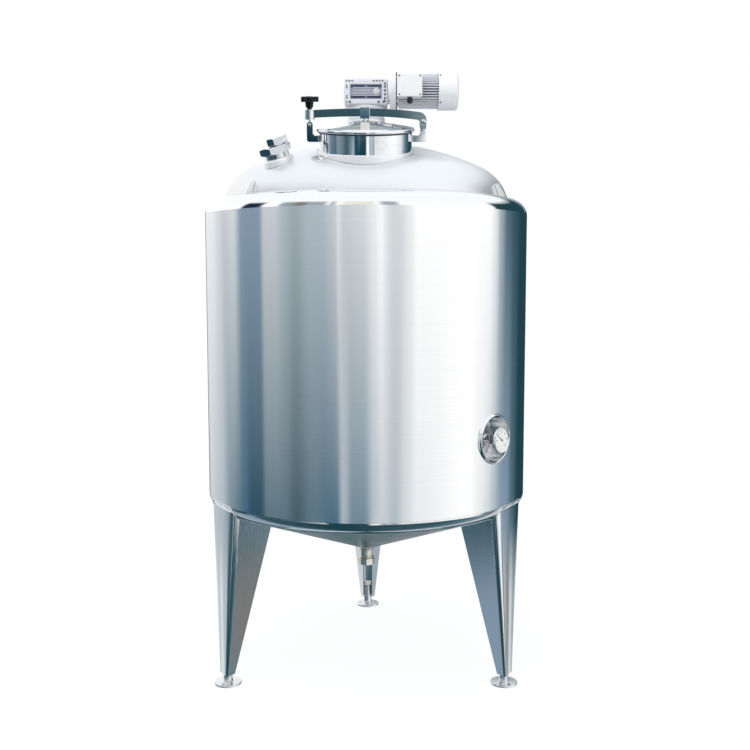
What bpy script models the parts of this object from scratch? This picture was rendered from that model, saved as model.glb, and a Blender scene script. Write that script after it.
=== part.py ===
"""Jacketed agitator tank on three folded legs, with a hinged manway lid and a top drive.

Metres, +Z up. The floor is z = 0 and the camera side of the tank is -Y. The origin is the middle of
the box round the whole tank, so the tank's own axis stands AXIS_Y in front of it.
"""
import math

import bpy
import bmesh
from mathutils import Matrix

# Driving dimensions of the vessel
SHELL_R = 0.650
VESSEL_R = 0.577
SHELL_PLATE = 0.004
HEAD_PLATE = 0.005
WALL_BOTTOM_Z = 0.7235
WALL_TOP_Z = 1.836
SHOULDER_R = 0.060
CORNER_R = 0.048
CONE_SLOPE = math.radians(20.1)
INNER_CONE_Z = 0.519
HEAD_Z = 1.860
KNUCKLE_R = 0.180
CROWN_R = 1.100
GAP = 0.0003

# Driving dimensions of the legs and feet
LEG_AZIMUTHS = {"left": -60.0, "right": 60.0, "rear": 180.0}
LEG_BOTTOM_Z = 0.040
LEG_TOP_Z = 0.7050
LEG_PLATE = 0.004
LEG_BACK_HALF = (0.038, 0.121)
LEG_NOSE_HALF = 0.021
LEG_NOSE_R = (0.607, 0.4195)
FOOT_R = 0.053
FOOT_PLATE = 0.008
POST_R = 0.018
FOOT_CIRCLE_R = SHELL_R - LEG_PLATE - GAP - POST_R
AXIS_Y = -(FOOT_CIRCLE_R + FOOT_R - SHELL_R) / 2

# Driving dimensions of the manway, whose neck leans towards the front
MANWAY_Y = -0.372
MANWAY_Z = 2.122
MANWAY_TILT = math.radians(13.0)
NECK_R = 0.172
NECK_WALL = 0.004
COLLAR_R = 0.177
COLLAR_TOP = -0.067
LID_R = 0.181
LID_SEAT = 0.005
LID_RIM = 0.017
LID_FLAT_R = 0.022
LID_TOP = 0.042
LID_PLATE = 0.003

# Driving dimensions of the bridge arm, its hinge and its latch
ARM_Z = 0.0715
ARM_DROOP = (0.150, 0.340)
ARM_H = 0.028
ARM_T = 0.022
ARM_LEFT_X = -0.1855
ARM_END_X = (0.1995, 0.2235)
ARM_END_Z = 0.0115
ARM_BEND_R = 0.027
HINGE_X = 0.212
HINGE_Z = 0.038
TONGUE_T = 0.009
EAR_SLOT = 0.0100
FORK_TOP_Z = 0.0555
LATCH_X = -0.204
LATCH_Z = 0.027
STUD_R = 0.005
STUD_TOP_Z = 0.0775
BLOCK_R = 0.0185
BLOCK_Z = (0.046, 0.079)
KNOB_LOBES = 5
KNOB_R = 0.0275
KNOB_WAVE = 0.0070
KNOB_Z = (0.108, 0.127)

# Driving dimensions of the drive
NOZZLE_FLANGE_Z = 2.2050
NOZZLE_R = 0.050
GEARBOX_Z = (2.2748, 2.3760)
GEARBOX_X = 0.086
GEARBOX_Y = (-0.086, 0.094)
SHAFT_R = 0.018
SHAFT_TOP_Z = 2.345
MOTOR_Y = -0.045
MOTOR_Z = 2.3327
MOTOR_R = 0.068
COWL_R = 0.0740
COWL_X = (0.2865, 0.3655)

# Driving dimensions of the fittings
INLET_X = -0.321
INLET_Y = -0.352
INLET_TILT = math.radians(22.0)
INLET_HEADING = math.radians(225.0)
INLET_R = 0.045
PORT_AZIMUTH = 47.9
PORT_Z = 0.9915
PORT_R = 0.0915
PORT_FACE = 0.655
DIAL_R = 0.0505
LUG_AZIMUTHS = {"left": -47.0, "right": 62.0, "rear": 187.5}
OUTLET_R = 0.0255
OUTLET_Z = 0.3920
ROUND = 48
CLEAR = 0.250
SMALL_ROUND = 24

# Start from an empty scene
for old in list(bpy.data.objects):
    bpy.data.objects.remove(old, do_unlink=True)
tank = bpy.data.collections.new("agitator_tank")
bpy.context.scene.collection.children.link(tank)
cutters = bpy.data.collections.new("cutters")
bpy.context.scene.collection.children.link(cutters)


def material(name, colour, metallic, roughness):
    mat = bpy.data.materials.new(name)
    mat.use_nodes = True
    shader = mat.node_tree.nodes["Principled BSDF"]
    shader.inputs["Base Color"].default_value = (*colour, 1.0)
    shader.inputs["Metallic"].default_value = metallic
    shader.inputs["Roughness"].default_value = roughness
    return mat


POLISHED = material("polished_stainless", (0.72, 0.74, 0.76), 1.0, 0.12)
SATIN = material("satin_stainless", (0.80, 0.82, 0.84), 1.0, 0.38)
CAST = material("cast_aluminium_grey", (0.62, 0.64, 0.67), 0.6, 0.45)
BLACK = material("black_plastic", (0.02, 0.022, 0.025), 0.0, 0.45)
RUBBER = material("grey_rubber", (0.10, 0.10, 0.11), 0.0, 0.7)
DIAL = material("dial_steel", (0.78, 0.79, 0.80), 1.0, 0.3)


def frame_empty(name, parent=None, location=(0, 0, 0), rotation=(0, 0, 0)):
    empty = bpy.data.objects.new(name, None)
    empty.location = location
    empty.rotation_euler = rotation
    empty.parent = parent
    tank.objects.link(empty)
    return empty


AXIS = frame_empty("tank_axis", location=(0, AXIS_Y, 0))


def add(name, mesh, mat, parent=AXIS, location=(0, 0, 0), rotation=(0, 0, 0)):
    obj = bpy.data.objects.new(name, mesh)
    obj.location = location
    obj.rotation_euler = rotation
    obj.parent = parent
    if mat is None:
        cutters.objects.link(obj)
        obj.hide_render = True
        obj.display_type = "WIRE"
    else:
        mesh.materials.append(mat)
        tank.objects.link(obj)
    return obj


def arc(cx, cy, radius, start, end, count):
    """Points on an arc, its angles in degrees."""
    steps = [math.radians(start + (end - start) * i / (count - 1)) for i in range(count)]
    return [(cx + radius * math.cos(a), cy + radius * math.sin(a)) for a in steps]


def turned(name, profile, mat, steps=ROUND, closed=True, **place):
    """A solid turned about its own Z from (radius, z) points that run down its outer side."""
    mesh = bpy.data.meshes.new(name)
    count = len(profile)
    edges = [(i, i + 1) for i in range(count - 1)]
    if closed:
        edges.append((count - 1, 0))
    mesh.from_pydata([(r, 0, z) for r, z in profile], edges, [])
    obj = add(name, mesh, mat, **place)
    screw = obj.modifiers.new("Turn", "SCREW")
    screw.steps = steps
    screw.render_steps = steps
    screw.use_merge_vertices = True
    screw.merge_threshold = 0.00001
    screw.use_smooth_shade = True
    return obj


def cylinder(name, radius, z_low, z_high, mat, steps=SMALL_ROUND, **place):
    mesh = bpy.data.meshes.new(name)
    bm = bmesh.new()
    bmesh.ops.create_cone(bm, cap_ends=True, segments=steps, radius1=radius, radius2=radius,
                          depth=z_high - z_low)
    bmesh.ops.translate(bm, verts=bm.verts, vec=(0, 0, (z_high + z_low) / 2))
    bm.to_mesh(mesh)
    bm.free()
    return add(name, mesh, mat, **place)


def block(name, low, high, mat, **place):
    mesh = bpy.data.meshes.new(name)
    bm = bmesh.new()
    bmesh.ops.create_cube(bm, size=1.0)
    size = [b - a for a, b in zip(low, high)]
    middle = [(a + b) / 2 for a, b in zip(low, high)]
    bmesh.ops.scale(bm, verts=bm.verts, vec=size)
    bmesh.ops.translate(bm, verts=bm.verts, vec=middle)
    bm.to_mesh(mesh)
    bm.free()
    return add(name, mesh, mat, **place)


def plate(name, outline, thickness, mat, **place):
    """A flat plate whose outline lies in the local X-Z plane, centred on local Y = 0."""
    curve = bpy.data.curves.new(name + "_outline", "CURVE")
    curve.dimensions = "2D"
    curve.fill_mode = "BOTH"
    curve.extrude = thickness / 2
    spline = curve.splines.new("POLY")
    spline.points.add(len(outline) - 1)
    for point, (x, z) in zip(spline.points, outline):
        point.co = (x, z, 0, 1)
    spline.use_cyclic_u = True
    source = bpy.data.objects.new(name + "_outline", curve)
    bpy.context.scene.collection.objects.link(source)
    bpy.context.view_layer.update()
    shape = source.evaluated_get(bpy.context.evaluated_depsgraph_get())
    mesh = bpy.data.meshes.new_from_object(shape)
    bpy.data.objects.remove(source, do_unlink=True)
    bm = bmesh.new()
    bm.from_mesh(mesh)
    bmesh.ops.remove_doubles(bm, verts=bm.verts, dist=0.00001)
    bmesh.ops.rotate(bm, verts=bm.verts, cent=(0, 0, 0),
                     matrix=Matrix.Rotation(math.radians(90), 3, "X"))
    bmesh.ops.recalc_face_normals(bm, faces=bm.faces)
    bm.to_mesh(mesh)
    bm.free()
    mesh.name = name
    return add(name, mesh, mat, **place)


def cut(obj, cutter, operation="DIFFERENCE"):
    boolean = obj.modifiers.new(operation.title(), "BOOLEAN")
    boolean.operation = operation
    boolean.object = cutter
    boolean.solver = "EXACT"


def bevel(obj, width, segments=2, angle=50.0):
    mod = obj.modifiers.new("Bevel", "BEVEL")
    mod.width = width
    mod.segments = segments
    mod.limit_method = "ANGLE"
    mod.angle_limit = math.radians(angle)


def front(azimuth):
    """The turn about Z that carries a piece built at the front round to its azimuth."""
    return (0, 0, math.radians(azimuth))


# Heights and edges that follow from the driving dimensions
CROWN_ANGLE = math.asin((VESSEL_R - KNUCKLE_R) / (CROWN_R - KNUCKLE_R))
CROWN_Z = HEAD_Z - (CROWN_R - KNUCKLE_R) * math.cos(CROWN_ANGLE)
HEAD_TOP_Z = CROWN_Z + CROWN_R
CORNER_END = (SHELL_R - CORNER_R + CORNER_R * math.sin(CONE_SLOPE),
              WALL_BOTTOM_Z - CORNER_R * math.cos(CONE_SLOPE))
SHOULDER_Z = WALL_TOP_Z + SHOULDER_R


def cone_z(radius, drop=0.0):
    """Height of the outer cone at a radius."""
    return CORNER_END[1] - (CORNER_END[0] - radius) * math.tan(CONE_SLOPE) - drop


def inner_cone_z(radius, drop=0.0):
    return INNER_CONE_Z + radius * math.tan(CONE_SLOPE) - drop


def head_profile(offset):
    """Outer line of the dished head moved inwards by offset, from the crown down to its edge."""
    turn = 90 - math.degrees(CROWN_ANGLE)
    line = arc(0, CROWN_Z, CROWN_R - offset, 90, turn, 7)
    line += arc(VESSEL_R - KNUCKLE_R, HEAD_Z, KNUCKLE_R - offset, turn, 0, 5)[1:]
    return line


# Inner vessel: the cylinder and the cone that hold the product
turned("inner_shell", [
    (VESSEL_R, HEAD_Z - GAP), (VESSEL_R, inner_cone_z(VESSEL_R) + GAP),
    (VESSEL_R - SHELL_PLATE, inner_cone_z(VESSEL_R) + GAP), (VESSEL_R - SHELL_PLATE, HEAD_Z - GAP),
], SATIN)
CONE_PLATE = HEAD_PLATE / math.cos(CONE_SLOPE)
turned("inner_cone", [
    (VESSEL_R, inner_cone_z(VESSEL_R)), (VESSEL_R, inner_cone_z(VESSEL_R, CONE_PLATE)),
    (OUTLET_R + GAP, inner_cone_z(OUTLET_R, CONE_PLATE)), (OUTLET_R + GAP, inner_cone_z(OUTLET_R)),
], SATIN)

# Insulated jacket: the polished wall with its rounded shoulder, and the cone-shaped bottom
JACKET_R = VESSEL_R + GAP
jacket_wall = turned("jacket_wall", [
    (JACKET_R, SHOULDER_Z),
    *arc(SHELL_R - SHOULDER_R, WALL_TOP_Z, SHOULDER_R, 90, 0, 6),
    (SHELL_R, WALL_BOTTOM_Z), (JACKET_R, WALL_BOTTOM_Z),
], POLISHED)
rim_under = inner_cone_z(0, CONE_PLATE + GAP)
rim_meets = (WALL_BOTTOM_Z - 2 * GAP - rim_under) / math.tan(CONE_SLOPE)
turned("jacket_bottom", [
    (rim_meets, WALL_BOTTOM_Z - 2 * GAP), (SHELL_R, WALL_BOTTOM_Z - GAP),
    *arc(SHELL_R - CORNER_R, WALL_BOTTOM_Z - GAP, CORNER_R, 0, math.degrees(CONE_SLOPE) - 90, 6)[1:],
    (OUTLET_R + GAP, cone_z(OUTLET_R)), (OUTLET_R + GAP, inner_cone_z(OUTLET_R, CONE_PLATE + GAP)),
], POLISHED)

# Top head: a dished head with holes for the manway, the inlet and the drive
top_head = turned("top_head", [
    *head_profile(0.0), *reversed(head_profile(HEAD_PLATE)),
], SATIN, closed=False)
MANWAY = frame_empty("manway_datum", AXIS, (0, MANWAY_Y, MANWAY_Z), (MANWAY_TILT, 0, 0))
cut(top_head, cylinder("cut_manway", NECK_R + GAP, -CLEAR, CLEAR, None, ROUND, parent=MANWAY))
cut(top_head, cylinder("cut_drive", NOZZLE_R + GAP, HEAD_Z, NOZZLE_FLANGE_Z, None))


def head_cutter(name, offset):
    """A solid of the head's own shape, moved inwards by offset, that reaches well down."""
    return turned(name, [*head_profile(offset), (VESSEL_R - offset, HEAD_Z - CLEAR), (0, HEAD_Z - CLEAR)],
                  None, closed=False)


# Manway neck: a mirror-polished tube, and the satin collar round its foot
NECK_BOTTOM = -0.160
NECK_INSIDE_HEAD = 0.008
COLLAR_CHAMFER = (0.002, 0.003)
COLLAR_BOTTOM = -0.150
inside_cut = head_cutter("cut_inside_head", HEAD_PLATE + NECK_INSIDE_HEAD)
outside_cut = head_cutter("cut_outside_head", -2 * GAP)
neck = turned("manway_neck", [
    (NECK_R, 0), (NECK_R, NECK_BOTTOM), (NECK_R - NECK_WALL, NECK_BOTTOM), (NECK_R - NECK_WALL, 0),
], POLISHED, parent=MANWAY)
cut(neck, inside_cut)
collar = turned("manway_collar", [
    (NECK_R + GAP, COLLAR_TOP), (COLLAR_R - COLLAR_CHAMFER[0], COLLAR_TOP),
    (COLLAR_R, COLLAR_TOP - COLLAR_CHAMFER[1]), (COLLAR_R, COLLAR_BOTTOM), (NECK_R + GAP, COLLAR_BOTTOM),
], SATIN, parent=MANWAY)
cut(collar, outside_cut)

# Hinge bracket on the right of the neck: a foot, an upright and the tongue that carries the pin
FOOT_X = NECK_R - 0.007
FOOT_Z = (-0.034, -0.011)
TONGUE_R = 0.0105
TONGUE_FOOT_Z = 0.002
neck_cut = cylinder("cut_neck", NECK_R + GAP, -CLEAR, CLEAR, None, ROUND, parent=MANWAY)
bracket = plate("hinge_bracket", [
    (FOOT_X, FOOT_Z[0]), (HINGE_X + TONGUE_R, FOOT_Z[0]), *arc(HINGE_X, HINGE_Z, TONGUE_R, 0, 180, 9),
    (HINGE_X - TONGUE_R, 0), (HINGE_X - 0.0155, FOOT_Z[1]), (FOOT_X, FOOT_Z[1]),
], ARM_T, POLISHED, parent=MANWAY)
cut(bracket, neck_cut)
for side in (-1, 1):
    y_pair = sorted((side * TONGUE_T / 2, side * ARM_T))
    cut(bracket, block(f"cut_tongue_{side}", (NECK_R, y_pair[0], TONGUE_FOOT_Z), (CLEAR, y_pair[1], CLEAR),
                       None, parent=MANWAY))


PIN_HEAD_H = 0.0037
PIN_NUT_H = 0.0047
HINGE_PIN_R = 0.004
LATCH_PIN_R = 0.003
PIN_SLACK = 0.0003


def pin(name, radius, head_r, x, z):
    """A headed pin across the fork, its head towards the front and its nut at the back."""
    seat = ARM_T / 2 + GAP
    profile = [(0, seat + PIN_HEAD_H), (head_r * 0.85, seat + PIN_HEAD_H), (head_r, seat + 0.7 * PIN_HEAD_H),
               (head_r, seat), (radius, seat), (radius, -seat), (head_r, -seat), (head_r, -seat - PIN_NUT_H),
               (0, -seat - PIN_NUT_H)]
    return turned(name, profile, SATIN, 16, closed=False, parent=MANWAY,
                  location=(x, 0, z), rotation=(math.radians(90), 0, 0))


def cross_hole(name, radius, x, z, parent):
    return cylinder(name, radius, -ARM_T, ARM_T, None, parent=parent, location=(x, 0, z),
                    rotation=(math.radians(90), 0, 0))


pin("hinge_pin", HINGE_PIN_R, 0.0095, HINGE_X, HINGE_Z)
cut(bracket, cross_hole("cut_tongue_hole", HINGE_PIN_R + PIN_SLACK, HINGE_X, HINGE_Z, MANWAY))

# Latch lug on the left of the neck: a forked upright that holds the swing stud's eye
LUG_R = 0.011
LUG_CHAMFER = 0.006
lug = plate("latch_lug", [
    (-FOOT_X, FOOT_Z[1]), (LATCH_X + LUG_R + LUG_CHAMFER, FOOT_Z[1]),
    (LATCH_X + LUG_R, FOOT_Z[1] + LUG_CHAMFER), *arc(LATCH_X, LATCH_Z, LUG_R, 0, 180, 9),
    (LATCH_X - LUG_R, FOOT_Z[0] + LUG_CHAMFER), (LATCH_X - LUG_R + LUG_CHAMFER, FOOT_Z[0]),
    (-FOOT_X, FOOT_Z[0]),
], ARM_T, POLISHED, parent=MANWAY)
cut(lug, neck_cut)
cut(lug, block("cut_fork", (-CLEAR, -EAR_SLOT / 2, LATCH_Z - 0.013), (-NECK_R, EAR_SLOT / 2, CLEAR), None,
               parent=MANWAY))
cut(lug, cross_hole("cut_fork_hole", LATCH_PIN_R + PIN_SLACK, LATCH_X, LATCH_Z, MANWAY))
pin("latch_pin", LATCH_PIN_R, 0.0065, LATCH_X, LATCH_Z)

# Swing stud: an eye on the latch pin and a rod that stands in the arm's open slot
STUD = frame_empty("stud_pivot", MANWAY, (LATCH_X, 0, LATCH_Z))
STUD_EYE_R = 0.0100
stud = cylinder("swing_stud", STUD_EYE_R, -TONGUE_T / 2, TONGUE_T / 2, SATIN, parent=STUD,
                rotation=(math.radians(90), 0, 0))
cut(stud, cylinder("join_rod", STUD_R, 0.6 * STUD_EYE_R, STUD_TOP_Z - LATCH_Z, None, parent=STUD), "UNION")
cut(stud, cross_hole("cut_eye", LATCH_PIN_R + PIN_SLACK, 0, 0, STUD))

# Bridge arm: a flat polished bar, a little arched, bent down to a fork at the hinge
HINGE = frame_empty("lid_hinge", MANWAY, (HINGE_X, 0, HINGE_Z))
ON_HINGE = (-HINGE_X, 0, -HINGE_Z)


def arm_middle(x):
    """Height of the arched bar's middle line, which droops more towards the hinge."""
    return ARM_Z - ARM_DROOP[x > 0] * x * x


def arm_line(offset, x_start, x_end, count):
    """Points along the arched bar, offset from its middle line."""
    steps = [x_start + (x_end - x_start) * i / (count - 1) for i in range(count)]
    return [(x, arm_middle(x) + offset) for x in steps]


bend_x = ARM_END_X[1] - ARM_BEND_R
bend_turn = 90 - math.degrees(math.atan(2 * ARM_DROOP[1] * bend_x))
bend_start = bend_x + ARM_BEND_R * math.cos(math.radians(bend_turn))
bend_z = arm_middle(bend_start) + ARM_H / 2 - ARM_BEND_R * math.sin(math.radians(bend_turn))
FORK_TIP_R = 0.008
INNER_BEND_R = 0.011
INNER_BEND_TURN = 84
inner_x = ARM_END_X[0] - INNER_BEND_R
inner_z = arm_middle(inner_x) - ARM_H / 2 - INNER_BEND_R
arm = plate("bridge_arm", [
    *arm_line(ARM_H / 2, ARM_LEFT_X, bend_start, 12),
    *arc(bend_x, bend_z, ARM_BEND_R, bend_turn, 0, 7)[1:],
    *arc(ARM_END_X[1] - FORK_TIP_R, ARM_END_Z + FORK_TIP_R, FORK_TIP_R, 0, -90, 4),
    *arc(ARM_END_X[0] + FORK_TIP_R, ARM_END_Z + FORK_TIP_R, FORK_TIP_R, -90, -180, 4),
    *arc(inner_x, inner_z, INNER_BEND_R, 0, INNER_BEND_TURN, 5),
    *arm_line(-ARM_H / 2, inner_x - INNER_BEND_R / 2, ARM_LEFT_X, 12),
], ARM_T, POLISHED, parent=HINGE, location=ON_HINGE)
cut(arm, block("cut_arm_fork", (inner_x, -EAR_SLOT / 2, -CLEAR), (CLEAR, EAR_SLOT / 2, FORK_TOP_Z), None,
               parent=HINGE, location=ON_HINGE))
cut(arm, cross_hole("cut_arm_hole", HINGE_PIN_R + PIN_SLACK, 0, 0, HINGE))

# End block of the arm: a round boss with a slot open outwards for the stud
SLOT_HALF = 0.00675
ON_LATCH = (LATCH_X - HINGE_X, 0, -HINGE_Z)
end_block = cylinder("arm_end_block", BLOCK_R, *BLOCK_Z, POLISHED, parent=HINGE, location=ON_LATCH)
cut(end_block, block("cut_slot", (-2 * BLOCK_R, -SLOT_HALF, 0), (0, SLOT_HALF, CLEAR), None, parent=HINGE,
                     location=ON_LATCH))
cut(end_block, cylinder("cut_slot_end", SLOT_HALF, 0, CLEAR, None, parent=HINGE, location=ON_LATCH))
cut(arm, cylinder("cut_arm_end", BLOCK_R + GAP, 0, CLEAR, None, ROUND, parent=HINGE, location=ON_LATCH))

# Saddle: a sleeve round the bar with a short post that carries the lid
SADDLE_X = (-0.0195, 0.0165)
SADDLE_Z = (0.049, 0.0905)
SADDLE_HALF = ARM_T / 2 + 0.005
POST_TOP_R = 0.012
saddle = block("arm_saddle", (SADDLE_X[0], -SADDLE_HALF, SADDLE_Z[0]),
               (SADDLE_X[1], SADDLE_HALF, SADDLE_Z[1]), POLISHED, parent=HINGE, location=ON_HINGE)
bevel(saddle, 0.0015, 1)
cut(saddle, plate("cut_bar", [*arm_line(ARM_H / 2 + GAP, -0.05, 0.05, 7),
                              *arm_line(-ARM_H / 2 - GAP, 0.05, -0.05, 7)],
                  ARM_T + 2 * GAP, None, parent=HINGE, location=ON_HINGE))
cylinder("lid_post", POST_TOP_R, LID_TOP + GAP, SADDLE_Z[0] - GAP, POLISHED, parent=HINGE, location=ON_HINGE)

# Lid: a shallow pressed cone with a rolled rim, and the gasket under the rim
LID_CONE_FOOT = (LID_R - 0.017, LID_RIM + 0.0025)
LID_RIM_INSIDE_R = LID_R - 0.027
GASKET_R = (0.1600, 0.1740)
turned("manway_lid", [
    (0, LID_TOP), (LID_FLAT_R, LID_TOP), LID_CONE_FOOT, (LID_R - 0.007, LID_RIM),
    (LID_R, LID_RIM - 0.005), (LID_R, LID_SEAT), (LID_RIM_INSIDE_R, LID_SEAT),
    (LID_RIM_INSIDE_R, LID_CONE_FOOT[1] - LID_PLATE), (LID_FLAT_R, LID_TOP - LID_PLATE),
    (0, LID_TOP - LID_PLATE),
], SATIN, closed=False, parent=HINGE, location=ON_HINGE)
turned("lid_gasket", [
    (GASKET_R[0], LID_SEAT - GAP), (GASKET_R[1], LID_SEAT - GAP), (GASKET_R[1], GAP), (GASKET_R[0], GAP),
], RUBBER, parent=HINGE, location=ON_HINGE)

# Star knob on the end block: a washer, a neck and a five-lobed grip
KNOB_ORIGIN_Z = 0.0893
KNOB_WASHER = (0.0125, 0.0820)
KNOB_NECK = (0.0085, 0.0825, 0.0850)
KNOB = frame_empty("knob_axis", HINGE, (LATCH_X - HINGE_X, 0, KNOB_ORIGIN_Z - HINGE_Z))
knob = turned("star_knob", [
    (0, KNOB_Z[1] + 0.001), (0.013, KNOB_Z[1] + 0.001), (0.0165, KNOB_Z[0] + 0.002),
    (0.0155, KNOB_Z[0] - 0.001), (0.0135, KNOB_NECK[2] + 0.002), (KNOB_NECK[0], KNOB_NECK[2]),
    (KNOB_NECK[0], KNOB_NECK[1]), KNOB_WASHER, (KNOB_WASHER[0], BLOCK_Z[1] + GAP), (0, BLOCK_Z[1] + GAP),
], BLACK, SMALL_ROUND, closed=False, parent=KNOB, location=(0, 0, -KNOB_ORIGIN_Z))
LOBE_POINTS = 30
lobes = []
for i in range(LOBE_POINTS):
    turn = 2 * math.pi * i / LOBE_POINTS
    reach = KNOB_R + KNOB_WAVE * math.cos(KNOB_LOBES * turn)
    lobes.append((reach * math.cos(turn), reach * math.sin(turn)))
star = plate("join_lobes", lobes, KNOB_Z[1] - KNOB_Z[0], None, parent=KNOB,
             location=(0, 0, sum(KNOB_Z) / 2 - KNOB_ORIGIN_Z), rotation=(math.radians(90), 0, 0))
cut(knob, star, "UNION")

# Earthing tab: a small plate on the head at the front left of the neck
TAB_TURN = math.radians(-57)
TAB_PLATE = 0.0045
TAB_LOW = (-0.030, -0.215, -CLEAR)
TAB_HIGH = (0.020, -COLLAR_R - 0.0005, 0)
tab = block("earthing_tab", TAB_LOW, TAB_HIGH, SATIN, parent=MANWAY, rotation=(0, 0, TAB_TURN))
cut(tab, outside_cut)
cut(tab, head_cutter("keep_tab", -TAB_PLATE), "INTERSECT")

# Inlet: a welded pad, a stub, a hexagon union nut and a hexagon cap that sits a little off centre
inlet_r = math.hypot(INLET_X, INLET_Y)
inlet_z = CROWN_Z + math.sqrt(CROWN_R ** 2 - inlet_r ** 2)
INLET = frame_empty("inlet_axis", AXIS, (INLET_X, INLET_Y, inlet_z), (0, INLET_TILT, INLET_HEADING))
PAD_R = 0.0550
PAD_Z = (-0.030, 0.006, 0.012)
STUB_WALL = 0.005
STUB_Z = (-0.032, 0.030)
NUT_CORNER_R = 0.0600
NUT_TOP = 0.0580
CAP_CORNER_R = 0.0385
CAP_TOP = 0.0860
CAP_SHIFT = (-0.0106, 0.0106, 0.0)
EDGE_BREAK = 0.002
cut(top_head, cylinder("cut_inlet", INLET_R + GAP, -CLEAR, CLEAR, None, ROUND, parent=INLET))
pad = turned("inlet_pad", [
    (INLET_R + GAP, PAD_Z[2]), (PAD_R - 0.0045, PAD_Z[2]), (PAD_R, PAD_Z[1]), (PAD_R, PAD_Z[0]),
    (INLET_R + GAP, PAD_Z[0]),
], SATIN, parent=INLET)
cut(pad, outside_cut)
turned("inlet_stub", [
    (INLET_R, STUB_Z[1]), (INLET_R, STUB_Z[0]), (INLET_R - STUB_WALL, STUB_Z[0]),
    (INLET_R - STUB_WALL, STUB_Z[1]),
], SATIN, parent=INLET)
inlet_nut = cylinder("inlet_nut", NUT_CORNER_R, STUB_Z[1] + GAP, NUT_TOP, POLISHED, 6, parent=INLET)
bevel(inlet_nut, EDGE_BREAK, 1)
cap = cylinder("inlet_cap", CAP_CORNER_R, NUT_TOP + GAP, CAP_TOP, POLISHED, 6, parent=INLET,
               location=CAP_SHIFT)
bevel(cap, EDGE_BREAK, 1)

# Drive seat: a flanged nozzle on the head and the lantern that the gearbox is bolted to
BORE_R = 0.030
PLATE_R = 0.075
PLATE_H = 0.0165
LANTERN_R = 0.055
LANTERN_TOP_R = 0.085
LANTERN_TOP_H = 0.0122
lantern_z = NOZZLE_FLANGE_Z + PLATE_H
turned("drive_nozzle", [
    (BORE_R, lantern_z), (PLATE_R, lantern_z), (PLATE_R, NOZZLE_FLANGE_Z), (NOZZLE_R, NOZZLE_FLANGE_Z),
    (NOZZLE_R, HEAD_TOP_Z - 0.018), (BORE_R, HEAD_TOP_Z - 0.018),
], SATIN, SMALL_ROUND)
turned("drive_lantern", [
    (BORE_R, GEARBOX_Z[0] - GAP), (LANTERN_TOP_R, GEARBOX_Z[0] - GAP),
    (LANTERN_TOP_R, GEARBOX_Z[0] - LANTERN_TOP_H), (LANTERN_R, GEARBOX_Z[0] - LANTERN_TOP_H),
    (LANTERN_R, lantern_z + PLATE_H - 0.002), (PLATE_R, lantern_z + PLATE_H - 0.002),
    (PLATE_R, lantern_z + GAP), (BORE_R, lantern_z + GAP),
], CAST, SMALL_ROUND)

# Worm gearbox: the housing, the bearing cover on top and the oil plug in front
CAST_EDGE = 0.008
PANEL_HALF = 0.064
PANEL_Z = (2.2965, 2.3540)
PANEL_DEPTH = 0.006
COVER_R = 0.052
COVER_H = 0.009
PLUG_AT = (0.0406, 2.3255)
gearbox = block("gearbox_housing", (-GEARBOX_X, GEARBOX_Y[0], GEARBOX_Z[0]),
                (GEARBOX_X, GEARBOX_Y[1], GEARBOX_Z[1]), CAST)
bevel(gearbox, CAST_EDGE, 2)
cut(gearbox, block("cut_panel", (-PANEL_HALF, GEARBOX_Y[0] - CLEAR, PANEL_Z[0]),
                   (PANEL_HALF, GEARBOX_Y[0] + PANEL_DEPTH, PANEL_Z[1]), None))
cut(gearbox, cylinder("cut_output", SHAFT_R + 0.0005, NOZZLE_FLANGE_Z, SHAFT_TOP_Z + 0.005, None))
turned("gearbox_cover", [
    (0, GEARBOX_Z[1] + COVER_H), (COVER_R - 0.006, GEARBOX_Z[1] + COVER_H),
    (COVER_R, GEARBOX_Z[1] + COVER_H - 0.005), (COVER_R, GEARBOX_Z[1] + GAP), (0, GEARBOX_Z[1] + GAP),
], CAST, SMALL_ROUND, closed=False)
turned("oil_plug", [
    (0, 0.0100), (0.0080, 0.0100), (0.0095, 0.0080), (0.0095, GAP), (0, GAP),
], DIAL, SMALL_ROUND, closed=False, location=(PLUG_AT[0], GEARBOX_Y[0] + PANEL_DEPTH, PLUG_AT[1]),
    rotation=(math.radians(90), 0, 0))

# Motor: flange, finned body, fan cowl, terminal box and cable gland
ALONG_X = (0, math.radians(90), 0)
MOTOR_AT = (0, MOTOR_Y, MOTOR_Z)
FLANGE_X = (0.0950, 0.1180)
FLANGE_R = 0.0745
BODY_X = 0.1300
turned("motor_flange", [
    (0, BODY_X), (0.058, BODY_X), (0.058, FLANGE_X[1] + 0.001), (FLANGE_R, FLANGE_X[1]),
    (FLANGE_R, FLANGE_X[0]), (0.050, FLANGE_X[0] - 0.001), (0.050, GEARBOX_X + GAP), (0, GEARBOX_X + GAP),
], CAST, closed=False, location=MOTOR_AT, rotation=ALONG_X)
MOTOR_FINS = 24
FIN_H = 0.007
fin_line = []
for i in range(MOTOR_FINS):
    for share, reach in ((0.0, MOTOR_R - FIN_H), (0.45, MOTOR_R - FIN_H), (0.5, MOTOR_R), (0.95, MOTOR_R)):
        turn = 2 * math.pi * (i + share) / MOTOR_FINS
        fin_line.append((reach * math.cos(turn), reach * math.sin(turn)))
body_half = (COWL_X[0] - BODY_X - 2 * GAP) / 2
plate("motor_body", fin_line, 2 * body_half, CAST, location=(BODY_X + GAP + body_half, MOTOR_Y, MOTOR_Z),
      rotation=(0, 0, math.radians(90)))
COWL_EDGE_R = 0.012
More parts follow.
